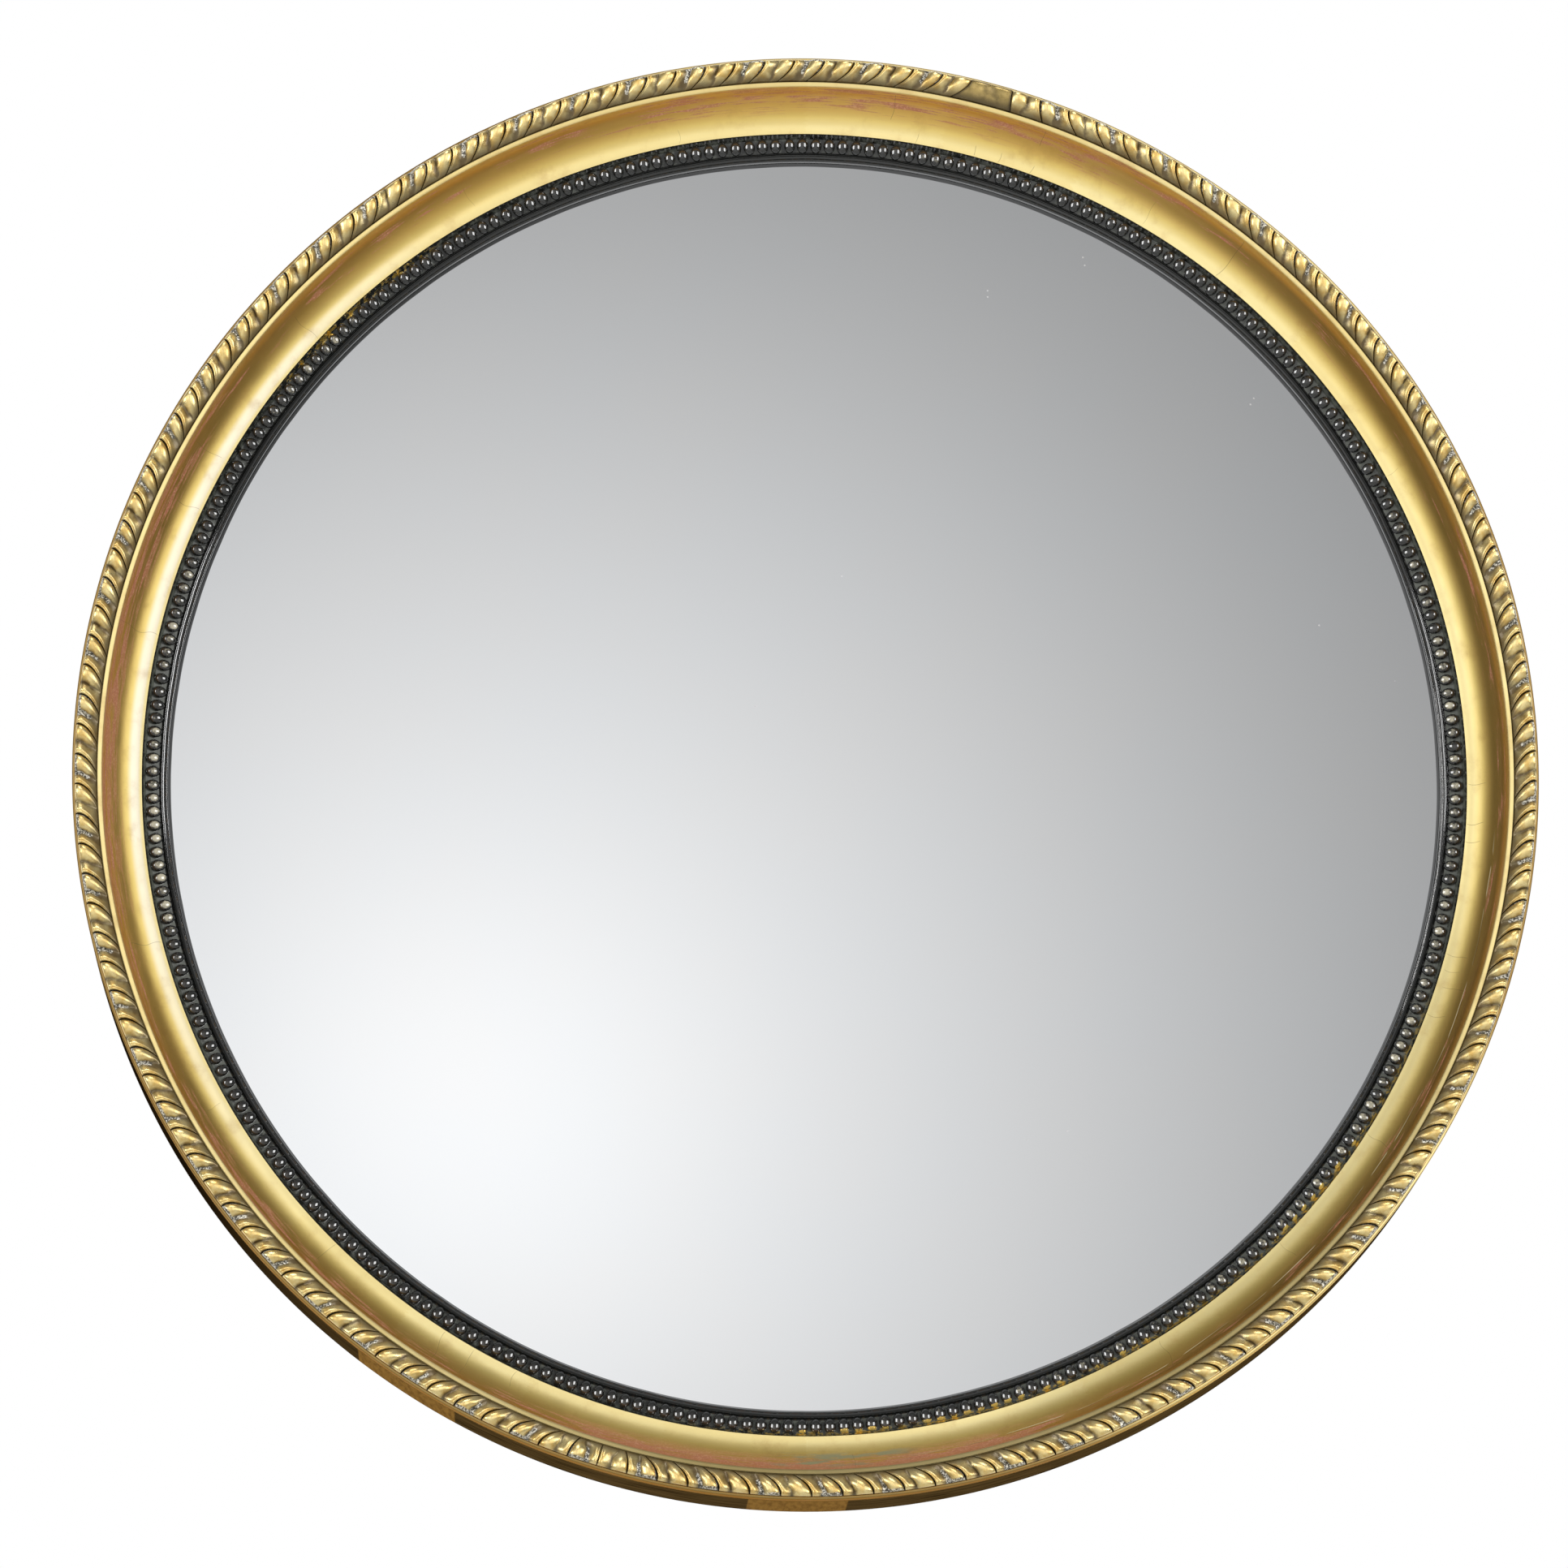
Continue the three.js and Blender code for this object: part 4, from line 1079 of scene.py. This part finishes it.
def makeBackRing():
    chamfer = backRing["chamfer"]
    ringInner = back[:, 0].min()
    recessLevel = back[back[:, 0] < ringInner + hair, 1].min()
    recessRadius = back[back[:, 1] < hair, 0].min()
    frontLevel = back[:, 1].max()
    outerBack = back[:, 0].max()
    outerFront = back[back[:, 1] > frontLevel - hair, 0].max()
    section = np.array([
        [ringInner, recessLevel + chamfer], [ringInner + chamfer, recessLevel], [recessRadius, recessLevel],
        [recessRadius, chamfer], [recessRadius + chamfer, 0], [outerBack - chamfer * 1.6, 0],
        [outerBack - chamfer * 0.3, chamfer * 0.5], [outerBack - 0.02 * mm, chamfer * 1.6],
        [outerFront, frontLevel], [ringInner, frontLevel],
    ])
    for number, (name, (first, last)) in enumerate(zip(backNames, joinedSpans(backNames, 9)), 1):
        angle = np.linspace(first, last, int((last - first) / backRing["step"]) + 1)[:, None]
        points = ringPoints(angle, section[:, 0] + 0 * angle, section[:, 1] + 0 * angle)
        piece = sectionPiece(f"backFelloe{number}", points, sharpAngle=30)
        grainTurn = (first + last) / 2 + 90
        finish = pineFinish(f"stainedPineFelloe{number}", grainTurn, pine["stained"], flankWash)
        fit(piece, "frame", "stained_pine", [finish], name)


makeBackRing()

# backboard planks and packing blocks
barePine = pineFinish("barePine", 0, pine["bare"])
for side in ("left", "middle", "right"):
    board = roundedCopy("backboard" + side.capitalize(), f"backboard_{side}", 0.5 * mm)
    fit(board, "frame", "bare_pine", [barePine], f"backboard_{side}")
for number in range(1, 9):
    block = roundedCopy(f"packingBlock{number}", f"packing_block_{number}", 0.6 * mm)
    fit(block, "frame", "bare_pine", [barePine], f"packing_block_{number}")
print("backboard and blocks made")

# turned iron screws, rusted: grey metal with rough brown patches
# rolled and bent brass, tarnished: yellow metal with dull brown patches
metals = {
    "rustedIron": {"tones": ("8b857c", "4b2f20"), "roughness": 0.45, "patch": 3.125 * mm, "metallic": 0.9},
    "tarnishedBrass": {"tones": ("c9a45c", "6d5026"), "roughness": 0.32, "patch": 5.5556 * mm, "metallic": 1},
}


def metalFinish(name):
    look = metals[name]
    material, add = newFinish(name)
    point = add("TexCoord", take="Object")
    patches = add("TexNoise", [point, 1 / look["patch"], 6, 0.65])
    fine = add("TexNoise", [point, 8 / look["patch"], 3])
    share = add("MapRange", [patches, 0.42, 0.66], **smooth)
    closeFinish(add, {
        "Base Color": add("Mix", [share, *map(colour, look["tones"])], **blend),
        "Metallic": add("MapRange", [share, 0, 1, look["metallic"], look["metallic"] * 0.6]),
        "Roughness": add("MapRange", [share, 0, 1, look["roughness"], look["roughness"] + 0.25]),
    }, (fine, 0.05 * mm, 0.4))
    return material


iron = metalFinish("rustedIron")
brass = metalFinish("tarnishedBrass")

# a turned screw: its profile (radius, along) spun round the y axis, then a slot sawn across the head
screwLook = {"sides": 28, "slotWidth": 0.9 * mm, "slotDepth": 0.9 * mm, "slotLength": 12 * mm}


def makeScrew(name, node, finish, slotName, slotTurn):
    low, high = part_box(node)
    centre = (low + high) / 2
    points = np.array([vertex.co for vertex in nodes[node].data.vertices])
    radius = np.hypot(points[:, 0] - centre.x, points[:, 2] - centre.z)
    pairs = {(-round(float(y), 5), round(float(r), 5)) for y, r in zip(points[:, 1], radius)}
    along, away = np.array(sorted(pairs)).T
    turn = np.linspace(0, 2 * math.pi, screwLook["sides"], endpoint=False)[:, None]
    x, z = centre.x + away * np.cos(turn), centre.z + away * np.sin(turn)
    spun = np.stack([x, 0 * x - along, z], axis=-1)
    piece = sectionPiece(name, spun, closed=True, sharpAngle=35, weld=0.001 * mm)
    cutter = bpy.data.objects.new("slotSaw", bpy.data.meshes.new("slotSaw"))
    bpy.context.scene.collection.objects.link(cutter)
    half = (screwLook["slotWidth"] / 2, screwLook["slotDepth"], screwLook["slotLength"] / 2)
    c, s = math.cos(slotTurn), math.sin(slotTurn)
    work = bmesh.new()
    bmesh.ops.create_cube(work, size=2)
    for vertex in work.verts:
        x, y, z = (spot * reach for spot, reach in zip(vertex.co, half))
        vertex.co = Vector((centre.x + x * c + z * s, high.y + y, centre.z - x * s + z * c))
    work.to_mesh(cutter.data)
    work.free()
    saw = piece.modifiers.new("slot", "BOOLEAN")
    saw.operation = "DIFFERENCE"
    saw.object = cutter
    bpy.context.view_layer.update()
    sawn = bpy.data.meshes.new_from_object(piece.evaluated_get(bpy.context.evaluated_depsgraph_get()))
    piece.modifiers.clear()
    piece.data = sawn
    sawn.name = name
    bpy.data.objects.remove(cutter)
    fit(piece, "frame", slotName, [finish], node)


for number in range(1, 7):
    makeScrew(f"boardScrew{number}", f"board_screw_{number}", iron, "iron_screws", 0.4 + number * 1.3)
for side in ("left", "right"):
    for number in (1, 2):
        pieceName = f"strapScrew{side.capitalize()}{number}"
        makeScrew(pieceName, f"strap_screw_{side}_{number}", brass, "hanger_brass", 0.7 + number * 1.9)
    strap = roundedCopy("strap" + side.capitalize(), f"strap_{side}", 0.3 * mm)
    fit(strap, "frame", "hanger_brass", [brass], f"strap_{side}")
print("screws and straps made")

# hanging ring: round wire bent to a letter D, a straight bar in the eye and a half circle below it
ringLook = {"wire": 3.6 * mm, "corner": 3 * mm, "sides": 20, "barSteps": 12, "arcSteps": 40, "bendSteps": 9}


# the path is swept by a circle: point + normal * wire cos(turn), and y = axis + wire sin(turn)
def makeHangingRing(name, node, body):
    low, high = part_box(node)
    wire = ringLook["wire"] / 2
    centre = np.array([(low.x + high.x) / 2, high.z - wire])
    reach = (high.x - low.x) / 2 - wire
    corner = ringLook["corner"]
    barX = np.linspace(-reach + corner, reach - corner, ringLook["barSteps"])
    bar = np.stack([barX, 0 * barX], axis=1)
    start = math.asin(corner / reach)
    turn = np.linspace(-start, -math.pi + start, ringLook["arcSteps"])
    arc = np.stack([reach * np.cos(turn), reach * np.sin(turn)], axis=1)
    bend = np.linspace(math.pi / 2, 0, ringLook["bendSteps"])[1:-1]
    right = np.stack([arc[0, 0] - corner + corner * np.cos(bend), -corner + corner * np.sin(bend)], axis=1)
    path = np.concatenate([bar, right, arc, right[::-1] * [-1, 1]])
    along = np.roll(path, -1, 0) - np.roll(path, 1, 0)
    along /= np.linalg.norm(along, axis=1)[:, None]
    normal = np.stack([-along[:, 1], along[:, 0]], axis=1)
    turn = np.linspace(0, 2 * math.pi, ringLook["sides"], endpoint=False)
    x, z = (centre + path)[:, :, None].transpose(1, 0, 2) + normal.T[:, :, None] * wire * np.cos(turn)
    y = (low.y + high.y) / 2 + wire * np.sin(turn) + 0 * x
    piece = sectionPiece(name, np.stack([x, y, z], axis=-1), closed=True, sharpAngle=60)
    fit(piece, body, "hanger_brass", [brass], node)


makeHangingRing("hangingRingLeft", "hanging_ring_left", "ring_left")
makeHangingRing("hangingRingRight", "hanging_ring_right", "ring_right")
print("hanging rings made")

# studio: white surroundings, soft light left and right of the camera, a pale painted floor far below
studio = {
    "cameraDistance": 4.2525,
    "cameraAzimuth": -1.8,
    "cameraElevation": -10.8,
    "lens": 167.7,
    "target": (0, -0.027, 0),
    "aimRight": -12.6 * mm,
    "aimUp": -4.2 * mm,
    "floorLevel": -1.6,
    "floorRadius": 2.2,
    "floorSides": 64,
    "floorTones": ("f2f2f0", "eaeae8"),
    "floorGrain": 33.3333 * mm,
    "glow": 0.181,
    # azimuth, elevation, sharpness and strength of the soft light that the glass shows
    "lobes": [(-14.0, -5.4, 37.0, 0.115), (-15.0, -5.5, 3.56, 0.695)],
    "fromBelow": 0.5,
    "sideGlow": 0.5,
    "fromAbove": 0.1,
    "diffuse": 0.7,
    "lampDistance": 3.6,
    # azimuth, elevation, width, height and power of each lamp
    "giltLamps": [(34, 9, 3.6, 3.0, 30), (-25, 14, 2.0, 2.0, 8)],
    "beadLamps": [(46, 6, 2.2, 2.5, 160), (-56, 6, 2.2, 2.5, 160)],
    "slipLamps": [(46, 6, 0.8, 1.2, 90), (-56, 6, 0.8, 1.2, 62)],
    "ropeLamps": [
        (62, 4, 1.6, 1.6, 26), (-62, 4, 1.6, 1.6, 26), (0, 58, 1.6, 1.6, 26), (0, -62, 1.6, 1.6, 20)],
}


def direction(azimuth, elevation):
    a, e = math.radians(azimuth), math.radians(elevation)
    return Vector((math.sin(a) * math.cos(e), -math.cos(a) * math.cos(e), math.sin(e)))


# each lobe of light is strength * exp(sharpness * (cosine of the angle to its middle - 1))
def makeWorld():
    world = bpy.data.worlds.new("studio")
    bpy.context.scene.world = world
    world.use_nodes = True
    world.node_tree.nodes.clear()
    add = partial(addNode, world.node_tree)
    ray = add("TexCoord", take="Generated")
    parts = []
    for azimuth, elevation, sharpness, strength in studio["lobes"]:
        cosine = add("VectorMath", [ray, direction(azimuth, elevation)], operation="DOT_PRODUCT")
        power = add("Math", [cosine, sharpness, -sharpness], operation="MULTIPLY_ADD")
        parts.append(add("Math", [add("Math", [power], operation="EXPONENT"), strength], **times))
    # pale floor below and a dim ceiling above, outside what the glass shows
    y = add("SeparateXYZ", [ray], take="Y")
    z = y.node.outputs["Z"]
    for value, *limits in (
            (z, -0.34, -0.75, 0, studio["fromBelow"]), (z, 0.62, 0.9, 0, studio["fromAbove"]),
            (y, -0.75, 0.1, studio["glow"], studio["glow"] * studio["sideGlow"])):
        parts.append(add("MapRange", [value, *limits], **smooth))
    behind = add("MapRange", [y, 0.05, 0.35], **smooth)
    seen = add("Mix", [behind, add("Math", parts), 1])
    toCamera = add("LightPath", take="Is Camera Ray")
    others = [toCamera.node.outputs[key] for key in ("Is Glossy Ray", "Is Transmission Ray")]
    strength = add("Mix", [add("Math", others, **greatest), studio["diffuse"], seen])
    strength = add("Mix", [toCamera, strength, 1])
    add("OutputWorld", [add("Background", [(1, 1, 1, 1), strength])])


def aim(thing, place, target):
    bpy.context.scene.collection.objects.link(thing)
    thing.location = place
    thing.rotation_mode = "QUATERNION"
    thing.rotation_quaternion = (Vector(target) - Vector(place)).to_track_quat("-Z", "Y")


# the beads and the slip have lamps of their own, the rope has side lamps too, and the glass has none
def makeLamps():
    kinds = ("bead", "slip", "rope")
    named = {kind: [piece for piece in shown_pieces() if piece.name.startswith(kind)] for kind in kinds}
    apart = [glass, *named["bead"], *named["slip"]]
    named["gilt"] = [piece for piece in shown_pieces() if piece not in apart]
    for kind, receivers in named.items():
        lit = bpy.data.collections.new(kind + "Lit")
        bpy.context.scene.collection.children.link(lit)
        for piece in receivers:
            lit.objects.link(piece)
        for number, (azimuth, elevation, width, height, power) in enumerate(studio[kind + "Lamps"], 1):
            data = bpy.data.lights.new(f"{kind}Lamp{number}", "AREA")
            data.shape = "RECTANGLE"
            data.size, data.size_y, data.energy = width, height, power
            lamp = bpy.data.objects.new(data.name, data)
            aim(lamp, direction(azimuth, elevation) * studio["lampDistance"], (0, 0, 0))
            lamp.light_linking.receiver_collection = lit


def makeCamera():
    target = Vector(studio["target"])
    back = direction(studio["cameraAzimuth"], studio["cameraElevation"])
    right = Vector((0, 0, 1)).cross(back).normalized()
    up = back.cross(right)
    data = bpy.data.cameras.new("camera")
    data.lens = studio["lens"]
    data.sensor_width = 36
    data.clip_start = 0.05
    camera = bpy.data.objects.new("camera", data)
    aim(camera, target + back * studio["cameraDistance"],
        target + right * studio["aimRight"] + up * studio["aimUp"])
    bpy.context.scene.camera = camera


# floor: rolled matt paint, a plain pale disc with a faint unevenness
def makeFloor():
    turn = np.linspace(0, 2 * math.pi, studio["floorSides"], endpoint=False)
    rim = np.stack([np.cos(turn), np.sin(turn), 0 * turn], axis=1) * studio["floorRadius"]
    floor = makePiece("floor", rim + [0, 0, studio["floorLevel"]], [list(range(studio["floorSides"]))])
    material, add = newFinish("palePaint")
    grain = add("TexNoise", [add("TexCoord", take="Object"), 1 / studio["floorGrain"], 3])
    tone = add("Mix", [grain, *map(colour, studio["floorTones"])], **blend)
    closeFinish(add, {"Base Color": tone, "Roughness": 0.8})
    floor.data.materials.append(material)


bpy.context.scene.view_settings.view_transform = "Standard"
makeWorld()
makeLamps()
makeCamera()
makeFloor()
print("studio made")
